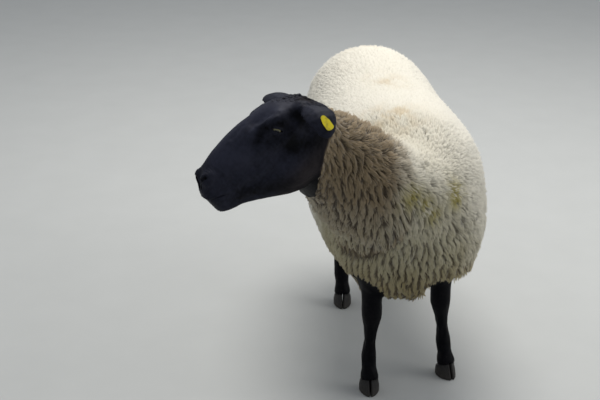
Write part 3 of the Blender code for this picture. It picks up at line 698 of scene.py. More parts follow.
def face_relief(head):
    relief = np.zeros(len(head))
    for height, width, path in STROKES:
        relief += height * stroke(head, path, width)
    place = head[:, 0] + 0.35 * head[:, 2] + 0.002 * np.sin(head[:, 1] * 260.0)
    wave = np.sin(2 * math.pi * place / WRINKLE_GAP)
    return relief + WRINKLE_HEIGHT * stroke(head, WRINKLES, WRINKLES_WIDTH) * wave


places = points_of(skin.data)
head = in_head(places)
on_face = smooth(head[:, 0], -0.080, -0.045) * (1.0 - woolly(places)) * (places[:, 2] > 0.5)
relief = on_face * face_relief(head)
set_points(skin.data, places + normals_of(skin.data) * relief[:, None])
print("relief from", round(float(relief.min()), 4), "to", round(float(relief.max()), 4))

# %% [markdown]
# ## Nostrils and mouth
# A sheep's nostril is a comma that starts low beside the groove of the lip and curls up and outwards. The
# mouth is a slit with the lower lip set back under the upper one.

# %% Openings
NOSTRIL = ((0.3120, 0.0065, -0.0060), (0.3075, 0.0130, 0.0050), (0.3020, 0.0200, 0.0120),
           (0.2930, 0.0280, 0.0130))
NOSTRIL_HALF_WIDTH = 0.0054
NOSTRIL_DEPTH = 0.0110
NOSTRIL_RIM = 0.0009
MOUTH = ((0.3230, 0.0000, -0.0330), (0.3160, 0.0180, -0.0345), (0.3000, 0.0320, -0.0400),
         (0.2800, 0.0370, -0.0475), (0.2600, 0.0370, -0.0545))
MOUTH_DEPTH = 0.0042
MOUTH_HALF_WIDTH = 0.0017
LIP_SWELL = 0.0014

places = points_of(skin.data)
head = in_head(places)
normals = normals_of(skin.data)
nostril = stroke_distance(head, NOSTRIL)
hollow = 1.0 - smooth(nostril, 0.35 * NOSTRIL_HALF_WIDTH, NOSTRIL_HALF_WIDTH)
rim = np.exp(-((nostril - 1.5 * NOSTRIL_HALF_WIDTH) / 0.0022) ** 2)
inward = -np.array([0.80, 0.0, 0.25])
mouth = stroke_distance(head, MOUTH)
slit = np.exp(-(mouth / MOUTH_HALF_WIDTH) ** 4)
lips = np.exp(-((mouth - 0.0050) / 0.0034) ** 2) * (head[:, 0] > 0.25)
upper = head[:, 2] > np.interp(head[:, 0], [0.26, 0.32], [-0.0545, -0.0335])
swell = lips * np.where(upper, LIP_SWELL, -0.2 * LIP_SWELL)
move = np.outer(hollow * NOSTRIL_DEPTH, inward @ HEAD_AXES)
move += normals * (rim * NOSTRIL_RIM + swell - slit * MOUTH_DEPTH)[:, None]
set_points(skin.data, places + move)
print("nostril points", int((hollow > 0.5).sum()), "mouth points", int((slit > 0.5).sum()))

# %% [markdown]
# ## Lids
# The eye is a ball set deep in the bone. The lids are skin drawn over it as a dome a little larger than the
# ball, with a narrow slit between them. She looks about with her eyes half closed, so the upper lid is
# heavy and comes low. The points over the slit are pushed back behind the front of the ball.

# %% Lids
EYE_RADIUS = 0.0140
LID_RADIUS = EYE_RADIUS + 0.0019
SLIT_ANGLE = math.radians(50.0)          # from the line of the face up to the bridge of the nose
SLIT_HALF_LENGTH = 0.0138
SLIT_HALF_HEIGHT = 0.0034
SLIT_DROP = 0.0012                       # how far below the middle of the ball the slit lies
SLIT_TILT = 0.08
BEHIND_BALL = 0.0030
UPPER_LID = (0.0016, 0.0062, 0.0035)     # its extra thickness, how far up it lies and its half width
LID_EDGE = (0.0006, 0.0010)              # the height and half width of the rolled edge
LID_FADE = (0.0120, 0.0250)              # the lids run out into the face between these distances
LID_BLEND = 0.0042                       # and how softly

places = points_of(skin.data)
head = in_head(places)
for side, sign in (("left", 1.0), ("right", -1.0)):
    middle = EYE_MIDDLE[side]
    offset = head - middle
    out = sign * offset[:, 1]
    length = offset[:, 0] * math.cos(SLIT_ANGLE) + offset[:, 2] * math.sin(SLIT_ANGLE)
    height = -offset[:, 0] * math.sin(SLIT_ANGLE) + offset[:, 2] * math.cos(SLIT_ANGLE)
    flat = np.hypot(length, height)
    around = (flat < 0.030) & (out > -0.004)
    dome = np.sqrt(np.maximum(LID_RADIUS ** 2 - flat ** 2, 0.0))
    dome += UPPER_LID[0] * np.exp(-((height - UPPER_LID[1]) / UPPER_LID[2]) ** 2) * (flat < EYE_RADIUS)
    lifted = 0.5 * (out + dome + np.sqrt((out - dome) ** 2 + LID_BLEND ** 2))
    out_new = out + (lifted - out) * (1.0 - smooth(flat, *LID_FADE))
    reach = np.maximum(1.0 - (length / SLIT_HALF_LENGTH) ** 2, 0.0)
    opening = SLIT_HALF_HEIGHT * reach ** 0.6
    gap = np.abs(height + SLIT_DROP - SLIT_TILT * length) - opening
    lid_edge = np.exp(-((gap - LID_EDGE[1]) / LID_EDGE[1]) ** 2) * (reach > 0.0)
    out_new = out_new + LID_EDGE[0] * lid_edge
    inside = (1.0 - smooth(gap, -0.0006, 0.0002)) * (np.abs(length) < SLIT_HALF_LENGTH)
    behind = np.sqrt(np.maximum(EYE_RADIUS ** 2 - flat ** 2, 0.0)) - BEHIND_BALL
    out_new = out_new + (behind - out_new) * inside
    head[:, 1] = np.where(around, middle[1] + sign * out_new, head[:, 1])
set_points(skin.data, from_head(head))
print("lids", round(1000 * LID_RADIUS, 1), "mm from the middle of each eye")

# %% [markdown]
# ## A flat map of the skin
# Each lock of wool takes its baked colour from one spot of a map, so the map has to be an unwrap of the
# skin itself. A thinned copy of the skin is cut and laid flat by Smart UV Project, and every root looks up
# its own place on that.

# %% Unwrap a thin copy
MAP_FACES = 9000                         # as many as if the skin were all triangles


def unwrapped_copy(piece):
    copy = bpy.data.objects.new("skin_map", piece.data.copy())
    bpy.context.scene.collection.objects.link(copy)
    fewer = copy.modifiers.new("fewer", "DECIMATE")
    fewer.ratio = MAP_FACES / len(copy.data.polygons)
    fewer.use_collapse_triangulate = True
    settle(copy)
    bpy.context.view_layer.objects.active = copy
    copy.select_set(True)
    bpy.ops.object.mode_set(mode="EDIT")
    bpy.ops.mesh.select_all(action="SELECT")
    bpy.ops.uv.smart_project(angle_limit=math.radians(75.0), island_margin=0.002)
    bpy.ops.object.mode_set(mode="OBJECT")
    return copy


class SkinMap:
    """Looks up the flat place of any point on the skin."""

    def __init__(self, piece):
        copy = unwrapped_copy(piece)
        mesh = copy.data
        self.points = points_of(mesh)
        flat = np.empty(len(mesh.loops) * 2, np.float32)
        mesh.uv_layers.active.data.foreach_get("uv", flat)
        self.flat = flat.reshape(-1, 3, 2).astype(float)
        corners = np.empty(len(mesh.loops), np.int64)
        mesh.loops.foreach_get("vertex_index", corners)
        self.corners = corners.reshape(-1, 3)
        self.tree = BVHTree.FromPolygons(self.points.tolist(), self.corners.tolist())
        bpy.data.objects.remove(copy)

    def flat_places(self, roots):
        faces = np.array([self.tree.find_nearest(root)[2] for root in roots.tolist()])
        a, b, c = (self.points[self.corners[faces, corner]] for corner in range(3))
        normal = np.cross(b - a, c - a)
        whole = np.maximum((normal ** 2).sum(axis=1), 1e-18)
        second = (np.cross(roots - a, c - a) * normal).sum(axis=1) / whole
        third = (np.cross(b - a, roots - a) * normal).sum(axis=1) / whole
        shares = np.clip(np.stack([1.0 - second - third, second, third], 1), 0.0, 1.0)
        shares /= shares.sum(axis=1)[:, None]
        return (self.flat[faces] * shares[:, :, None]).sum(axis=1)


skin_map = SkinMap(skin)
print("map made of", len(skin_map.corners), "faces")

# %% [markdown]
# ## Strewing roots
# Wool grows close and evenly, with no rows. Roots are thrown at random over the skin, and a throw that
# lands too near an earlier one is dropped, which leaves them spread like drops on a leaf.

# %% Keeping distance
def spaced(points, gap):
    """The indices of points that keep at least gap from every earlier one."""
    cells = {}
    kept = []
    keys = np.floor(points / gap).astype(int).tolist()
    steps = [(x, y, z) for x in (-1, 0, 1) for y in (-1, 0, 1) for z in (-1, 0, 1)]
    for index, (place, (i, j, k)) in enumerate(zip(points.tolist(), keys)):
        free = True
        for x, y, z in steps:
            other = cells.get((i + x, j + y, k + z))
            if other and math.dist(place, other) < gap:
                free = False
                break
        if free and (i, j, k) not in cells:
            cells[i, j, k] = place
            kept.append(index)
    return np.array(kept)


row = np.outer(np.arange(9.0), [1.0, 0.0, 0.0])
print("of nine points in a row, 1 m apart,", len(spaced(row, 1.5)), "keep 1.5 m from one another")

# %% Roots
THROWS = 4.5                             # how many throws for each square of skin one gap wide
random = np.random.default_rng(7)


class Surface:
    """The finished skin as triangles, to throw roots at."""

    def __init__(self, mesh):
        mesh.calc_loop_triangles()
        corners = np.empty(len(mesh.loop_triangles) * 3, np.int64)
        mesh.loop_triangles.foreach_get("vertices", corners)
        self.corners = corners.reshape(-1, 3)
        self.points = points_of(mesh)
        self.normals = normals_of(mesh)
        a, b, c = (self.points[self.corners[:, corner]] for corner in range(3))
        self.areas = np.linalg.norm(np.cross(b - a, c - a), axis=1) / 2
        self.middles = (a + b + c) / 3

    def throw(self, chosen, gap):
        """Evenly strewn roots on the chosen triangles, at least gap apart, with their normals."""
        faces = np.flatnonzero(chosen)
        areas = self.areas[faces]
        count = int(THROWS * areas.sum() / gap ** 2)
        picks = random.choice(faces, count, p=areas / areas.sum())
        first, second = random.random((2, count, 1))
        turn = first + second > 1.0
        first, second = np.where(turn, 1.0 - first, first), np.where(turn, 1.0 - second, second)
        corners = self.corners[picks]

        def blend(values):
            a, b, c = (values[corners[:, corner]] for corner in range(3))
            return a + (b - a) * first + (c - a) * second

        points, normals = blend(self.points), blend(self.normals)
        kept = spaced(points, gap)
        normals = normals[kept]
        return points[kept], normals / np.linalg.norm(normals, axis=1)[:, None]


surface = Surface(skin.data)
print("skin area", round(float(surface.areas.sum()), 2), "square metres")

# %% [markdown]
# ## One lock, many times
# A lock of wool is a bundle of crimped fibres that taper to a tip. The pattern is one small closed prism of
# three sides, pulled up ring by ring and drawn to a point. Long locks have more rings, to bend, and a tuft of
# hair has the least. Every lock of the coat is such a pattern, bent along its own line, and all the locks of
# one part of the body are joined into one mesh.

# %% Pattern of a lock
def lock_pattern(levels):
    """A closed three-sided prism along +Z with a ring at each level, ending in a point at 1."""
    bm = bmesh.new()
    bmesh.ops.create_circle(bm, cap_ends=True, segments=3, radius=1.0)
    top = bm.faces[:]
    for level, last in zip((*levels[1:], 1.0), (*levels, 1.0)):
        made = bmesh.ops.extrude_face_region(bm, geom=top)["geom"]
        if last > 0.0:
            bmesh.ops.delete(bm, geom=top, context="FACES_ONLY")
        raised = [item for item in made if isinstance(item, bmesh.types.BMVert)]
        bmesh.ops.translate(bm, verts=raised, vec=(0.0, 0.0, level - last))
        top = [item for item in made if isinstance(item, bmesh.types.BMFace)]
    bmesh.ops.pointmerge(bm, verts=top[0].verts[:], merge_co=(0.0, 0.0, 1.0))
    bmesh.ops.recalc_face_normals(bm, faces=bm.faces[:])
    bm.verts.index_update()
    points = np.array([vertex.co[:] for vertex in bm.verts])
    faces = [[vertex.index for vertex in face.verts] for face in bm.faces]
    bm.free()
    return points, faces


def triangles_in(pattern):
    return sum(len(face) - 2 for face in pattern[1])


SHORT_LOCK = lock_pattern((0.0, 0.55))
LONG_LOCK = lock_pattern((0.0, 0.38, 0.74))
HAIR = lock_pattern((0.0,))
print("triangles in a lock", triangles_in(SHORT_LOCK), triangles_in(LONG_LOCK), triangles_in(HAIR))

# %% [markdown]
# ## Growing a coat
# Each lock rises from its root and then leans over along the lie of the coat. Neighbouring tips draw
# together in clumps, which opens the partings of a real fleece, painted darker as shade, and each clump waves
# in step.

# %% Bend the locks
LOCK_FOOT = 0.62                              # how thick a lock is at its root, as a share of its width
LOCK_BELLY = 1.1                              # and how much it swells towards its middle


def unit(vectors):
    return vectors / np.maximum(np.linalg.norm(vectors, axis=1), 1e-9)[:, None]


def along_skin(directions, normals):
    return unit(directions - normals * (directions * normals).sum(axis=1)[:, None])


def bend(pattern, roots, normals, lies, coat):
    """The points of every lock: the pattern swept along each lock's own line."""
    share = pattern[:, 2][None, :, None]
    across = np.cross(normals, lies)[:, None, :]
    up, along = normals[:, None, :], lies[:, None, :]
    height, length, width = (coat[key][:, None, None] for key in ("height", "length", "width"))
    rise = 1.0 - (1.0 - share) ** 1.7
    line = roots[:, None, :] - up * coat["sink"] + up * height * rise + along * length * share ** 1.5
    slope = up * height * 1.7 * np.maximum(1.0 - share, 0.02) ** 0.7 + along * length * 1.4 * share ** 0.5
    wave = coat["wave"] * np.sin(2 * math.pi * (coat["waves"] * share + coat["phase"][:, None, None]))
    line = line + across * wave * share
    if "draw" in coat:
        line = line + coat["draw"][:, None, :] * share ** 1.6
        slope = slope + coat["draw"][:, None, :] * 1.6 * share ** 0.6
    thick = np.cross(slope, across)
    thick /= np.maximum(np.linalg.norm(thick, axis=2), 1e-9)[:, :, None]
    swell = (LOCK_FOOT + LOCK_BELLY * share - LOCK_BELLY * share ** 2) * width
    wide, deep = pattern[None, :, :1], pattern[None, :, 1:2]
    return line + across * swell * wide + thick * swell * coat["flat"] * deep


print("a lock's middle is", round(LOCK_FOOT + LOCK_BELLY / 4, 3), "of its width")

# %% [markdown]
# ## Joining the locks
# A million corners are too many for one operator call each, so the pattern's points and faces are repeated
# as arrays. A lock knows its root's place on the map of the skin, how far along itself each point is, and its
# own shade. Its normals lean to the skin's, or to the round of its clump, so that the fleece is shaded as one
# soft body and not as a heap of splinters.

# %% Join the locks
PATCH = 0.003                                 # how much of the map a lock covers
ROUNDNESS = 95.0                              # how round a clump of locks is shaded


def write_marks(mesh, marks):
    """Stores each named row of values on the mesh's points, for its finish to read."""
    for key, values in marks.items():
        mesh.attributes.new(key, "FLOAT", "POINT").data.foreach_set("value", values.astype(np.float32))


def joined(name, shape, faces, points):
    """One mesh from the bent points of every lock, and the point of each of its corners."""
    count, size = points.shape[:2]
    corner = np.concatenate([np.array(face) for face in faces])
    totals = np.array([len(face) for face in faces])
    mesh = bpy.data.meshes.new(name)
    mesh.vertices.add(count * size)
    mesh.loops.add(count * len(corner))
    mesh.polygons.add(count * len(faces))
    corners = (corner[None, :] + np.arange(count)[:, None] * size).ravel()
    mesh.vertices.foreach_set("co", points.astype(np.float32).ravel())
    mesh.loops.foreach_set("vertex_index", corners.astype(np.int32))
    starts = np.concatenate([[0], np.cumsum(totals)[:-1]])
    starts = (starts[None, :] + np.arange(count)[:, None] * len(corner)).ravel()
    mesh.polygons.foreach_set("loop_start", starts.astype(np.int32))
    mesh.update(calc_edges=True)
    mesh.shade_smooth()
    return mesh, corners


def locks_piece(name, pattern, roots, normals, lies, coat, finish, softness):
    """A piece of coat: its locks as one mesh, with their patch of the map, their marks and soft normals."""
    shape, faces = pattern
    points = bend(shape, roots, normals, lies, coat)
    count, size = points.shape[:2]
    mesh, corners = joined(name, shape, faces, points)
    spots = skin_map.flat_places(roots)[:, None, :]
    offsets = np.stack([shape[:, 0] * 0.5, shape[:, 2] - 0.5], 1)[None, :, :] * PATCH
    flat = (spots + offsets).reshape(-1, 2)[corners]
    mesh.uv_layers.new(name="OFBake").data.foreach_set("uv", flat.astype(np.float32).ravel())
    marks = {"tip": np.tile(shape[:, 2], count), "shade": np.repeat(coat["shade"], size)}
    write_marks(mesh, marks | {key: np.repeat(value, size) for key, value in markings(roots).items()})
    own = normals_of(mesh)
    smooth_normals = unit(normals - ROUNDNESS * coat["draw"]) if "draw" in coat else normals
    leaning = unit(own * (1.0 - softness) + np.repeat(smooth_normals, size, axis=0) * softness)
    mesh.normals_split_custom_set_from_vertices(leaning.tolist())
    mesh.materials.append(finish.material)
    piece = bpy.data.objects.new(name, mesh)
    bpy.context.scene.collection.objects.link(piece)
    return piece


print("each lock's patch is", PATCH, "of the map wide")

# %% [markdown]
# ## Markings
# The fleece is cream where rain and sun reach it, on the back and rump. It is greyer on the chest and low on
# the body, partly with dirt and partly as painted shade, and brown with grease and earth on the neck, where
# she rubs through hedges and racks, with painted shade in the crease where the neck's wool hangs over the
# chest.
# There are a few yellow-green stains on the near side of the chest and the shoulder. The black hair has a
# painted sheen over the bone of the face and painted shade in its hollows, on the throat and on the legs. All
# of it depends only on the place on the body.

# %% Places of the markings
RUFF_MIDDLE = (-0.010, 0.670)                # across and up
RUFF_SIZE = (0.115, 0.185)
RUFF_FAR_SIDE = 0.155                         # half its width on the side she looks to
NECK_BACK = -0.28                             # the neck's wool hangs over the chest in front of this
STAINS = (((0.122, -0.460, 0.672), 0.034), ((0.194, -0.407, 0.600), 0.026), ((0.258, -0.338, 0.625), 0.034),
          ((0.164, -0.425, 0.640), 0.024))
TAN_PATCHES = (((0.090, -0.150, 0.765), 0.075), ((0.145, -0.130, 0.785), 0.070),
               ((0.165, 0.180, 0.790), 0.060), ((0.120, 0.480, 0.800), 0.050))
HEAD_FOOT = 0.55                              # the head is above this height and the legs' hair below it
SHADES = (
    # how much paler: painted sheen above 0 and painted shade below 0; width, path of (along, out, up)
    # painted shade: behind the eye, below the cheek arch, tear pit, fold under the brow, under the eye
    (-0.36, 0.016, ((0.074, 0.064, 0.002), (0.082, 0.063, -0.030), (0.096, 0.060, -0.054))),
    (-0.38, 0.024, ((0.092, 0.060, -0.060), (0.066, 0.060, -0.078), (0.036, 0.060, -0.086))),
    (-0.42, 0.011, ((0.124, 0.050, 0.020), (0.136, 0.046, 0.014), (0.152, 0.044, 0.004))),
    (-0.36, 0.008, ((0.122, 0.056, 0.019), (0.104, 0.065, 0.014), (0.088, 0.065, 0.004))),
    (-0.30, 0.014, ((0.112, 0.064, -0.018), (0.130, 0.056, -0.012))),
    # painted sheen: beside the bridge of the nose, brow, side of the nose, jaw
    (0.40, 0.008, ((0.140, 0.039, 0.028), (0.154, 0.040, 0.020))),
    (0.30, 0.022, ((0.104, 0.031, 0.040), (0.072, 0.050, 0.032), (0.044, 0.045, 0.018))),
    (0.38, 0.030, ((0.238, 0.026, 0.024), (0.200, 0.040, 0.000))),
    (0.16, 0.030, ((0.122, 0.058, -0.094), (0.120, 0.045, -0.134))),
    # painted shade: above the jaw, before the ear
    (-0.40, 0.020, ((0.250, 0.034, -0.074), (0.200, 0.034, -0.104), (0.160, 0.045, -0.128))),
    (-0.60, 0.013, ((0.048, 0.058, 0.010), (0.044, 0.066, -0.018), (0.046, 0.074, -0.044))),
    # painted sheen: root of the ear, forehead
    (0.20, 0.014, ((0.020, 0.090, 0.006), (0.020, 0.120, -0.006))),
    (0.40, 0.032, ((0.200, 0.000, 0.044), (0.140, 0.012, 0.052), (0.070, 0.020, 0.048))),
)
print(len(STAINS), "stains and", len(TAN_PATCHES), "tan patches")

# %% Ruff, warmth, and the hair's painted sheen and shade
def ruff(points):
    """How far outside the neck's ruff a place lies, as a share of the ruff's size: 0 on its edge."""
    wide = points[:, 0] - RUFF_MIDDLE[0]
    wide = wide / np.where(wide < 0.0, RUFF_FAR_SIDE, RUFF_SIZE[0])
    wide = np.where(wide < 0.0, wide * smooth(0.74 - points[:, 2], 0.0, 0.06), wide)
    deep = np.minimum(points[:, 2] - RUFF_MIDDLE[1], 0.0) / RUFF_SIZE[1]
    return np.hypot(wide, deep) - 1.0


def warmth(points):
    """The browner black of the cheek, jaw and poll."""
    head = in_head(points)
    cheek = smooth(-head[:, 2] - 0.25 * head[:, 0], 0.045, 0.105) * smooth(0.24 - head[:, 0], 0.0, 0.08)
    poll = np.exp(-(np.linalg.norm(head - np.array([-0.006, 0.030, 0.0]), axis=1) / 0.022) ** 2)
    return np.minimum(cheek + poll, 1.0)


def bloom(points):
    """Painted sheen and shade on the black hair: paler over the bone of the face, darkest in its hollows, on
    the throat, in the nostrils and on the legs, with some random tone.
    """
    head = in_head(points)
    value = 0.50 + 0.10 * ripple(points, 0.034, 2.0) + 0.09 * ripple(points, 0.014, 5.0)
    for paler, width, path in SHADES:
        value += paler * stroke(head, path, width)
    # painted shade on the throat and in the nostrils
    painted_throat_shade = smooth(-head[:, 2], 0.150, 0.190) * smooth(0.20 - head[:, 0], 0.0, 0.05)
    value -= 0.90 * painted_throat_shade + 0.90 * (stroke_distance(head, NOSTRIL) < NOSTRIL_HALF_WIDTH)
    # the legs' hair gets the darkest painted shade
    return np.where(points[:, 2] < HEAD_FOOT, 0.0, value)


print("bloom at the poll", round(float(bloom(np.array([POLL]))[0]), 2))

# %% Markings
def spots(points, places):
    """Round soft spots, 1 in the middle of each."""
    away = [np.linalg.norm(points - np.array(place), axis=1) / size for place, size in places]
    return sum(np.exp(-distance ** 2) for distance in away)


def neck_brown_and_crease_shade(points, rough):
    """The brown of the neck, deepest on its top, and the painted shade in the crease where its wool hangs
    over the chest.
    """
    back_edge = np.interp(points[:, 2], [0.60, 0.72], [-0.30, -0.24])
    neck = 1.0 - smooth(ruff(points) + 0.16 * rough, -0.60, 0.34)
    neck *= 1.0 - smooth(points[:, 1] - back_edge + 0.03 * rough, -0.08, 0.05)
    neck *= 0.66 + 0.34 * smooth(points[:, 2] + 0.03 * rough, 0.60, 0.72)
    # painted shade in the crease just outside the ruff's edge, where its wool hangs over the chest
    edge = np.exp(-((ruff(points) - 0.01 + 0.04 * rough) / 0.14) ** 2) * (points[:, 1] < NECK_BACK)
    crease_shade = edge * (1.0 - smooth(points[:, 2], 0.58, 0.66))
    return np.maximum(neck, crease_shade)


def chest_grey_and_shade(points, rough):
    """The grey of the chest, weaker on both shoulders and growing downwards: partly greyer wool, partly
    painted shade low on the chest.
    """
    height = points[:, 2] + 0.02 * rough + 0.45 * np.maximum(points[:, 0] - 0.16, 0.0)
    far = smooth(-points[:, 0], 0.10, 0.20)
    near = smooth(points[:, 0], 0.24, 0.34)
    return (1.0 - smooth(height, 0.40, 0.90)) * (1.0 - 0.55 * far - 0.50 * near)


def markings(points):
    """How brown, grey, stained and tanned the wool is, with painted shade in the neck's crease and low on the
    body, and how black and warm the hair is, with its painted sheen and shade, from 0 to 1.
    """
    rough = ripple(points, 0.11) + 0.5 * ripple(points, 0.043, 1.0)
    front = 1.0 - smooth(points[:, 1] + 0.03 * rough, -0.20, -0.02)
    # Greyer low on the body, partly as painted shade; browner and stained low on the front, partly with dirt
    # and partly as painted shade under the chest.
    low = 1.0 - smooth(points[:, 2] + 0.02 * rough, 0.34, 0.56)
    dirt = 0.9 * front * (1.0 - smooth(points[:, 2] + 0.03 * rough, 0.30, 0.50))
    stain = 1.6 * spots(points, STAINS) * smooth(ripple(points * [1.0, 1.0, 0.4], 0.024, 4.0), -0.7, 0.1)
    marks = {"brown": np.maximum(neck_brown_and_crease_shade(points, rough), dirt),
             "grey": np.maximum(front * chest_grey_and_shade(points, rough), 0.7 * low),
             "stain": np.maximum(stain, 0.40 * dirt),
             "tan": spots(points, TAN_PATCHES) * smooth(rough, -0.8, 0.8),
             "black": 1.0 - woolly(points), "warm": warmth(points), "bloom": bloom(points)}
    return {key: np.clip(value, 0.0, 1.0) for key, value in marks.items()}


print("brown on the neck", round(float(markings(NECK_MIDDLE[None, :])["brown"][0]), 2))

# %% [markdown]
# ## The finish of wool, hair and skin
# Wool scatters light softly and has no gloss, so it is rough with a little sheen at grazing angles. Each
# lock is painted darker at its root, where the light doesn't reach, and painted shade darkens the partings
# between clumps. The short hair of the face and legs is black, with a painted bluish sheen where it is palest
# and painted shade in its hollows, and turns a little brown on the cheek and jaw.

# %% Wool and hair finishes
CREAM = (0.89, 0.85, 0.745)
TAN = (0.70, 0.58, 0.40)
GREY = (0.53, 0.480, 0.315)
BROWN = (0.300, 0.225, 0.132)
STAIN = (0.40, 0.340, 0.085)
# The colour of the painted shade at the locks' roots and in the partings.
WOOL_ROOT = (0.10, 0.075, 0.050)
# The palest black carries a painted bluish sheen, and the deepest black is painted shade.
BLACK = (0.0310, 0.0335, 0.0530)              # where the hair is palest
WARM_BLACK = (0.0310, 0.0255, 0.0285)
SHADE_BLACK = (0.0015, 0.0016, 0.0030)
HEAD_TURNED = Matrix((FACE, LEFT, UP)).transposed().to_euler()


def wool_colour(finish):
    """Cream, with each marking mixed over it in turn, and painted shade over them all: at each lock's root
    and in the partings between clumps.
    """
    patches = finish.noise(finish.place(), 9.0, 4.0)
    speckle = finish.noise(finish.place(), 170.0, 2.0)
    shade = finish.attribute("shade") - 0.5
    grey = finish.attribute("grey")
    brown = finish.attribute("brown")
    colour = finish.mix((finish.attribute("tan") * 0.8 + (patches - 0.5) * 0.25).clipped(), CREAM, TAN)
    # the lock's painted shade also changes how much grey and brown show
    greyer = grey * (0.95 + shade * 0.6) + (patches - 0.5) * 0.3 * grey
    colour = finish.mix(greyer.clipped(), colour, GREY)
    colour = finish.mix((brown * (0.95 + shade * 0.3)).clipped(), colour, BROWN)
    colour = finish.mix((finish.attribute("stain") * 0.95).clipped(), colour, STAIN)
    # painted shade: darker towards each lock's root and in the partings, with some random speckle
    deep = 1.0 - finish.range(finish.attribute("tip"), 0.1, 0.8)
    dark = deep * (0.12 + grey * 0.40 + brown * 0.35) + (speckle - 0.5) * 0.12
    dark = dark - shade * (0.15 + grey * 1.3 + brown * 2.7)
    return finish.mix(dark.math("MINIMUM", 0.92).math("MAXIMUM", 0.0), colour, WOOL_ROOT)


def hair_colour(finish):
    patches = finish.noise(finish.place(), 16.0, 3.0)
    tufts = finish.noise(finish.place(), 130.0, 3.0)
    warm = (finish.attribute("warm") + (patches - 0.5) * 0.4).clipped()
    # share of painted sheen against painted shade, with random tone in patches and tufts
    pale = (finish.attribute("bloom") + (patches - 0.5) * 0.5 + (tufts - 0.5) * 0.55).clipped()
    return finish.mix(pale, SHADE_BLACK, finish.mix(warm, BLACK, WARM_BLACK))


fleece = Finish("fleece", Roughness=0.95, Sheen_Weight=0.22, Sheen_Roughness=0.6, Specular_IOR_Level=0.08)
fleece.drive("Base Color", wool_colour(fleece))
fleece.bump(fleece.noise(fleece.place(), 520.0, 2.0), 0.35, 0.0008)

hair = Finish("black_hair", Roughness=0.60, Specular_IOR_Level=0.08)
hair.drive("Base Color", hair_colour(hair))

hide = Finish("skin_and_hair", Specular_IOR_Level=0.08)
black = hide.attribute("black")
hide.drive("Base Color", hide.mix(black, wool_colour(hide), hair_colour(hide)))
streaks = hide.noise(hide.place((170.0, 900.0, 900.0), HEAD_TURNED), 1.0)
pores = hide.noise(hide.place(), 420.0)
hide.drive("Roughness", 0.95 - black * 0.40 + (streaks - 0.5) * 0.14)
hide.bump(streaks * 0.7 + pores * 0.3, 0.45, 0.0009)
print("wool and hair finishes made")

# %% [markdown]
# ## Give the skin its markings
# The skin carries the same markings as the coat at every one of its points, with a shade half-way between
# light and dark. Its finish mixes the colours of wool and hair from them.

# %% Mark the skin
places = points_of(skin.data)
write_marks(skin.data, markings(places) | {"shade": np.full(len(places), 0.5)})
skin.data.materials.append(hide.material)
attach(skin, "root")
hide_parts(*FLESH)
print("skin stands for", len(FLESH), "solids")

# %% [markdown]
# ## How high the coat may stand
# The solids give the ewe's outline out to the tips of her wool. A ray from each root straight out to the
# solid's surface tells how high the lock there has to stand to reach that outline. Neighbouring roots share
# their findings, so that no facet or cut of the solids shows in the wool.

# %% Headroom
SEARCH = 0.08                                 # how far out from a root the outline is looked for
ROOM_LIMITS = (0.70, 1.35)                    # how far from the expected height it may be
NEIGHBOURS = 24                               # how many roots share one height


def solid_flesh():
    """The surface of the flesh solids, to cast rays at, and which solid each triangle is of."""
    corners, points, owners = [], [], []
    for name in FLESH:
        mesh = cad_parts[name].data
        mesh.calc_loop_triangles()
        flat = np.empty(len(mesh.loop_triangles) * 3, np.int64)
        mesh.loop_triangles.foreach_get("vertices", flat)
        corners.append(flat.reshape(-1, 3) + sum(len(p) for p in points))
        points.append(points_of(mesh))
        owners += [name] * len(mesh.loop_triangles)
    tree = BVHTree.FromPolygons(np.concatenate(points).tolist(), np.concatenate(corners).tolist())
    return tree, owners


flesh_tree, flesh_owner = solid_flesh()


def owner_of(roots):
    return np.array([flesh_owner[flesh_tree.find_nearest(root)[2]] for root in roots.tolist()])


def search_tree(places):
    tree = KDTree(len(places))
    for number, place in enumerate(places):
        tree.insert(place, number)
    tree.balance()
    return tree


def headroom(roots, normals, expected):
    """Height to the outline above each root, kept near what is expected there."""
    rays = zip(roots.tolist(), normals.tolist())
    found = [flesh_tree.ray_cast(root, normal, SEARCH)[3] for root, normal in rays]
    found = np.array([share if distance is None else distance for distance, share in zip(found, expected)])
    found = np.clip(found / expected, *ROOM_LIMITS)
    tree = search_tree(roots.tolist())
    near = np.array([[item[1] for item in tree.find_n(root, NEIGHBOURS)] for root in roots.tolist()])
    evened = np.median(found[near], axis=1)
    return expected * evened[near].mean(axis=1)


print("outline made of", len(flesh_owner), "triangles")

# %% [markdown]
# ## The fleece
# Wool lies down the sides and a little backwards. It is short and dense on the back and rump, and longer
# and wavier on the neck, chest, belly and tail, where the clumps are drawn out along the fall of the wool.
# Both kinds grow by the same function from their own list of sizes.

# %% Two kinds of wool
WOOL_EDGE = 0.35                              # woollier places bear fleece, and the others short hair
SHORT_WOOL = {"name": "short", "pattern": SHORT_LOCK, "gap": 0.0031, "clump": 0.0110, "stretch": 0.9,
              "drawn": 0.30, "length": 0.009, "width": 0.0023, "wave": 0.0006, "waves": 0.8}
LONG_WOOL = {"name": "long", "pattern": LONG_LOCK, "gap": 0.0029, "clump": 0.0190, "stretch": 0.26,
             "drawn": 0.80, "length": 0.016, "width": 0.0017, "wave": 0.0016, "waves": 1.2}


def wool_lie(points, normals):
    """Which way the wool falls: down the sides, backwards along the back, and a little astray."""
    down = np.array([0.0, 0.30, -1.0])
    back = np.array([0.0, 1.0, 0.0])
    flatness = np.clip(normals[:, 2], 0.0, 1.0)[:, None]
    wander = np.stack([ripple(points, 0.07), ripple(points, 0.09, 3.0), ripple(points, 0.08, 5.0)], 1)
    toss = random.normal(0.0, 0.10, points.shape)
    return along_skin(down * (1.0 - 0.6 * flatness) + back * 0.9 * flatness + 0.30 * wander + toss, normals)


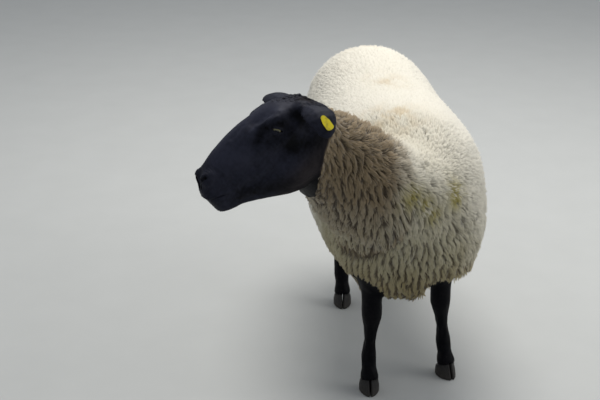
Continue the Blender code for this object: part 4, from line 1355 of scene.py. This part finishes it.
def clumped(roots, normals, gap, stretch, strength):
    """Shifts that draw each tip towards its clump, each root's distance from the clump, and its number."""
    sway = np.sin(roots[:, 2:] * 150.0 + 3.0 * ripple(roots, 0.09)[:, None])
    swayed = roots + 0.004 * sway * [1.0, 1.0, 0.0]
    squeezed = swayed * np.array([1.0, 1.0, stretch])
    chosen = spaced(squeezed, gap)
    tree = search_tree(squeezed[chosen])
    numbers = np.array([tree.find(place)[1] for place in squeezed.tolist()])
    shift = (squeezed[chosen[numbers]] - squeezed) * np.array([1.0, 1.0, stretch])
    shift -= normals * (shift * normals).sum(axis=1)[:, None]
    return shift * strength, np.minimum(1.7 * np.linalg.norm(shift, axis=1) / gap, 1.0), numbers


def lengthy(points):
    """How well a place's markings suit long wool: all greasy or greyed wool is long."""
    marks = markings(points)
    return np.maximum(marks["brown"], marks["grey"])


def is_long(points):
    on_tail = (points[:, 1] > TAIL_FOOT) & (points[:, 2] < TAIL_TOP.z)
    mixed = 0.2 * ripple(points, 0.05) + 0.12 * ripple(points, 0.16, 7.0)
    mixed = mixed + random.normal(0.0, 0.05, len(points))
    return (lengthy(points) + mixed > 0.40) | on_tail


in_wool = woolly(surface.middles) > WOOL_EDGE
long_here = is_long(surface.middles)
print("long wool on", round(100 * long_here[in_wool].mean()), "per cent of the fleece's triangles")

# %% Grow the fleece
MOST_TRIANGLES = 195000                       # in one piece of the coat


def ruff_fold(roots):
    """How much a place is on the lip of the ruff's fold, and how much in the crease under it."""
    edge = ruff(roots)
    below = (1.0 - smooth(roots[:, 2], 0.62, 0.70)) * (roots[:, 1] < NECK_BACK)
    return below * np.exp(-((edge + 0.09) / 0.10) ** 2), below * np.exp(-((edge - 0.10) / 0.08) ** 2)


def grow_wool(name, kind, roots, normals, lies, room):
    """One piece of fleece. Locks far from the middle of their clump are lower, as partings, and painted
    darker there as shade, as is the crease under the ruff.
    """
    count = len(roots)
    draw, away, numbers = clumped(roots, normals, kind["clump"], kind["stretch"], kind["drawn"])
    phase = random.random(numbers.max() + 1)[numbers] + random.normal(0.0, 0.05, count)
    lip, under = ruff_fold(roots)
    if kind is SHORT_WOOL:
        lip, parted = np.zeros(count), np.zeros(count)
    else:
        parted = smooth(lengthy(roots), 0.34, 0.66)
    hang = 1.10 * lip - 0.75 * under
    height = room * (1.02 + 0.06 * parted - (0.30 + 0.42 * parted) * away ** 1.5 + hang * parted)
    # painted shade: darker in the partings and in the crease under the ruff
    light = 0.66 + 0.06 * parted - (0.25 + 0.50 * parted) * away ** 2 - under * parted
    coat = {"height": height * random.normal(1.0, 0.05, count),
            "length": kind["length"] * (1.0 + 0.5 * lip) * random.normal(1.0, 0.15, count),
            "width": kind["width"] * random.normal(1.0, 0.12, count),
            "shade": np.clip(light + random.normal(0.0, 0.12, count), 0.0, 1.0),
            "sink": 0.002, "flat": 0.75, "wave": kind["wave"], "waves": kind["waves"], "phase": phase,
            "draw": draw}
    piece = locks_piece(name, kind["pattern"], roots, normals, lies, coat, fleece, 0.75)
    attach(piece, "root")


triangles = 0
for kind in (SHORT_WOOL, LONG_WOOL):
    roots, normals = surface.throw(in_wool & (long_here == (kind is LONG_WOOL)), kind["gap"])
    owner = owner_of(roots)
    lies = wool_lie(roots, normals)
    room = headroom(roots, normals, coat_depth(roots))
    each = triangles_in(kind["pattern"])
    for node in sorted(set(owner)):
        mine = np.flatnonzero(owner == node)
        pieces = math.ceil(len(mine) * each / MOST_TRIANGLES)
        order = mine[np.argsort(roots[mine, 0])]
        for number, share in enumerate(np.array_split(order, pieces)):
            name = f"wool_{kind['name']}_{node}" + (f"_{number + 1}" if pieces > 1 else "")
            grow_wool(name, kind, roots[share], normals[share], lies[share], room[share])
            triangles += each * len(share)
    print(len(roots), kind["name"], "locks")
print("fleece of", triangles, "triangles")

# %% [markdown]
# ## Short hair
# On the face, ears and legs the hair is less than a centimetre long and lies flat. Mostly it is bump in the
# skin's finish. Small flat tufts over it break the outline on every side. They run down the face from the
# poll to the nose, out along the ears and down the legs, and stay off the lids, lips and nose.

# %% Where and how short hair lies
POLL_PATH = ((0.034, 0.0, 0.036), (0.008, 0.020, 0.016), (-0.016, 0.020, -0.006))
POLL_REACH = 0.024
BARE_LIDS = EYE_RADIUS + 0.0045


def on_poll(points):
    return stroke_distance(in_head(points), POLL_PATH) < POLL_REACH


def bare(points):
    """The lids, lips and nose, where the skin shows."""
    head = in_head(points)
    eyes = [np.linalg.norm(head - middle, axis=1) < BARE_LIDS for middle in EYE_MIDDLE.values()]
    pad = (head[:, 0] > 0.298) & (np.abs(head[:, 1]) < 0.014) & (head[:, 2] > -0.028)
    nose = stroke_distance(head, NOSTRIL) < 0.0065
    return eyes[0] | eyes[1] | pad | nose | (stroke_distance(head, MOUTH) < 0.0030)


def hair_lie(points, normals):
    out = np.sign(in_head(points)[:, 1])[:, None] * np.array(LEFT)
    face = np.array(FACE * 0.9 - UP * 0.35)
    ears = on_ears(points)[:, None]
    head = face * (1.0 - ears) + (out - 0.3 * np.array(UP)) * ears
    lie = np.where(points[:, 2:] > HEAD_FOOT, head, np.array([0.0, 0.15, -1.0]))
    return along_skin(lie + random.normal(0.0, 0.13, points.shape), normals)


in_hair = (woolly(surface.middles) <= WOOL_EDGE) & ~bare(surface.middles) & ~on_poll(surface.middles)
print("short hair on", in_hair.sum(), "triangles of the skin")

# %% Grow the short hair
HAIR_GAP = 0.0024
HAIR_WIDTH = 0.0010
HAIR_SIZES = {"head": (0.0010, 0.0068), "ears": (0.0004, 0.0042),     # height and length of a tuft
              "fore_legs": (0.0013, 0.0085), "hind_legs": (0.0013, 0.0085)}


def grow_hair(name, pattern, roots, normals, coat, softness, drawn=None):
    """Tufts with plain shades, as one piece with the black hair's finish. It returns how many triangles."""
    count = len(roots)
    coat = {key: value * random.normal(1.0, 0.15, count) for key, value in coat.items()}
    plain = {"sink": 0.0007, "flat": 0.6, "wave": 0.0004, "waves": 1.0, "phase": random.random(count),
             "shade": random.random(count)}
    if drawn is not None:
        plain["draw"] = drawn
    lies = hair_lie(roots, normals)
    piece = locks_piece(name, pattern, roots, normals, lies, coat | plain, hair, softness)
    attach(piece, "root")
    return count * triangles_in(pattern)


roots, normals = surface.throw(in_hair, HAIR_GAP)
owner = np.where(roots[:, 2] > HEAD_FOOT, "head", np.where(roots[:, 1] < 0.0, "fore_legs", "hind_legs"))
owner[on_ears(roots) > 0.5] = "ears"
triangles = 0
for place, (height, length) in HAIR_SIZES.items():
    mine = owner == place
    full = np.ones(mine.sum())
    coat = {"height": height * full, "length": length * full, "width": HAIR_WIDTH * full}
    triangles += grow_hair(f"hair_{place}", HAIR, roots[mine], normals[mine], coat, 0.9)
print("hair of", len(roots), "tufts,", triangles, "triangles")

# %% [markdown]
# ## Wool on the poll
# Between the ears stands a low tuft of curly black-brown wool. It is highest in the middle of the poll and
# runs out into the short hair around it.

# %% Poll wool
POLL_GAP = 0.0024
POLL_CLUMP = 0.0100
POLL_HEIGHT = (0.0012, 0.0024)                # at the tuft's edge, and how much more in its middle
POLL_LENGTH = 0.0060
POLL_WIDTH = 0.0013

poll = on_poll(surface.middles) & (woolly(surface.middles) <= WOOL_EDGE) & (on_ears(surface.middles) < 0.2)
roots, normals = surface.throw(poll, POLL_GAP)
draw, away, _ = clumped(roots, normals, POLL_CLUMP, 1.0, 0.60)
full = np.ones(len(roots))
middle = 1.0 - smooth(stroke_distance(in_head(roots), POLL_PATH), 0.4 * POLL_REACH, POLL_REACH)
coat = {"height": POLL_HEIGHT[0] + POLL_HEIGHT[1] * middle * (1.0 - 0.60 * away),
        "length": POLL_LENGTH * full, "width": POLL_WIDTH * full}
triangles = grow_hair("poll_wool", LONG_LOCK, roots, normals, coat, 0.8, draw)
print("poll wool of", len(roots), "locks,", triangles, "triangles")

# %% [markdown]
# ## Eyes
# A smooth ball for each eye. A sheep's iris is amber, its pupil a wide dark slot that lies along the lids,
# and the rim of the eye is nearly black. The wet clear front is the shader's coat over it all.

# %% Eyes
SCLERA = (0.030, 0.020, 0.015)
IRIS = (0.20, 0.180, 0.070)
IRIS_DARK = (0.050, 0.038, 0.018)
PUPIL = (0.004, 0.005, 0.010)
PUPIL_HALF = (0.42, 0.15)                     # its half length and half height, in eye radii
IRIS_RIM = (0.64, 0.70)
BALL_GAP = 0.0001                             # the ball is this much smaller than its solid

eye_finish = Finish("eye", Roughness=0.30, Coat_Weight=0.5, Coat_Roughness=0.06)
spokes = eye_finish.noise(eye_finish.place(), 900.0, 2.0)
ring = eye_finish.mix((eye_finish.attribute("ring") + (spokes - 0.5) * 0.5).clipped(), IRIS_DARK, IRIS)
ball = eye_finish.mix(eye_finish.attribute("iris"), SCLERA, ring)
eye_finish.drive("Base Color", eye_finish.mix(eye_finish.attribute("pupil"), ball, PUPIL))
for side, sign in (("left", 1.0), ("right", -1.0)):
    bm = bmesh.new()
    bmesh.ops.create_uvsphere(bm, u_segments=64, v_segments=40, radius=EYE_RADIUS - BALL_GAP,
                              matrix=Matrix.Translation(EYES[side]))
    eyeball = new_piece(f"eyeball_{side}", bm, eye_finish)
    offset = (points_of(eyeball.data) - np.array(EYES[side])) / EYE_RADIUS
    axis = (sign * LEFT + 0.22 * FACE - 0.10 * UP).normalized()
    slot = FACE * math.cos(SLIT_ANGLE) + UP * math.sin(SLIT_ANGLE)
    slot = (slot - axis * slot.dot(axis)).normalized()
    front = offset @ np.array(axis)
    long = offset @ np.array(slot)
    tall = offset @ np.array(axis.cross(slot))
    around = (long / PUPIL_HALF[0]) ** 4 + (tall / PUPIL_HALF[1]) ** 4
    write_marks(eyeball.data, {"iris": smooth(front, *IRIS_RIM),
                               "ring": 1.0 - smooth(np.hypot(long, tall), 0.45, 0.72),
                               "pupil": (1.0 - smooth(around, 0.6, 1.3)) * (front > 0.0)})
    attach(eyeball, "root")
    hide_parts(f"eye_{side}")
print("eyes", round(2000 * EYE_RADIUS), "mm across")

# %% [markdown]
# ## Hooves
# Each claw is remeshed from its solid, smoothed, and ringed by the horn's growth. It is worn flat where it
# stands on the ground. The horn is black-grey, dry and finely streaked downwards, and paler at the foot.

# %% Horn
HORN_DARK = (0.010, 0.009, 0.009)
HORN_PALE = (0.050, 0.043, 0.036)

horn = Finish("horn", Specular_IOR_Level=0.35)
grain = horn.noise(horn.place((420.0, 420.0, 60.0)), 1.0)
mottle = horn.noise(horn.place(), 60.0)
height = horn.attribute("height")
horn_share = ((1.0 - height) * 0.5 + (grain - 0.5) * 0.9 + (mottle - 0.5) * 0.5).clipped()
horn.drive("Base Color", horn.mix(horn_share, HORN_DARK, HORN_PALE))
horn.drive("Roughness", 0.50 + (mottle - 0.5) * 0.3)
horn.bump(grain, 0.3, 0.0006)
print("horn finish of", len(horn.tree.nodes), "nodes")

# %% Hooves
HORN_GRID = 0.0018
RING_GAP = 0.0046
RING_HEIGHT = 0.00028
WALL = (0.004, 0.009, 0.036, 0.044)           # the rings fade in and out between these heights

triangles = 0
for name in [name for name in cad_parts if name.startswith("claw_")]:
    claw = new_piece(name.replace("claw", "hoof"), welded(name), horn)
    remesh(claw, HORN_GRID)
    claw.data.shade_smooth()
    edges = edges_of(claw.data)
    places = kept_relax(points_of(claw.data), edges, np.full(len(claw.data.vertices), 0.5), 10)
    set_points(claw.data, places)
    wall = smooth(places[:, 2], *WALL[:2]) * (1.0 - smooth(places[:, 2], *WALL[2:]))
    rings = RING_HEIGHT * np.sin(2 * math.pi * (places[:, 2] + 0.12 * places[:, 1]) / RING_GAP)
    places += normals_of(claw.data) * ((rings - 0.0002) * wall)[:, None]
    places[:, 2] = np.maximum(places[:, 2], 0.0)
    set_points(claw.data, places)
    write_marks(claw.data, {"height": np.clip(places[:, 2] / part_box(name)[1].z, 0.0, 1.0)})
    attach(claw, "root")
    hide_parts(name)
    triangles += 2 * len(claw.data.polygons)
print("hooves of", triangles, "triangles")

# %% [markdown]
# ## Ear tag
# The tag and its stud keep their solids. They are yellow plastic, a little dulled and dirty.

# %% Tag
TAG_YELLOW = (0.80, 0.66, 0.010)
TAG_DIRTY = (0.42, 0.33, 0.02)

plastic = Finish("tag")
dirt = plastic.noise(plastic.place(), 90.0, 4.0)
plastic.drive("Base Color", plastic.mix(plastic.range(dirt, 0.45, 0.75), TAG_YELLOW, TAG_DIRTY))
plastic.drive("Roughness", plastic.range(dirt, 0.3, 0.7, 0.40, 0.60))
for name in ("ear_tag", "ear_tag_stud"):
    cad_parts[name].material_slots[0].material = plastic.material
print("tag finish of", len(plastic.tree.nodes), "nodes")
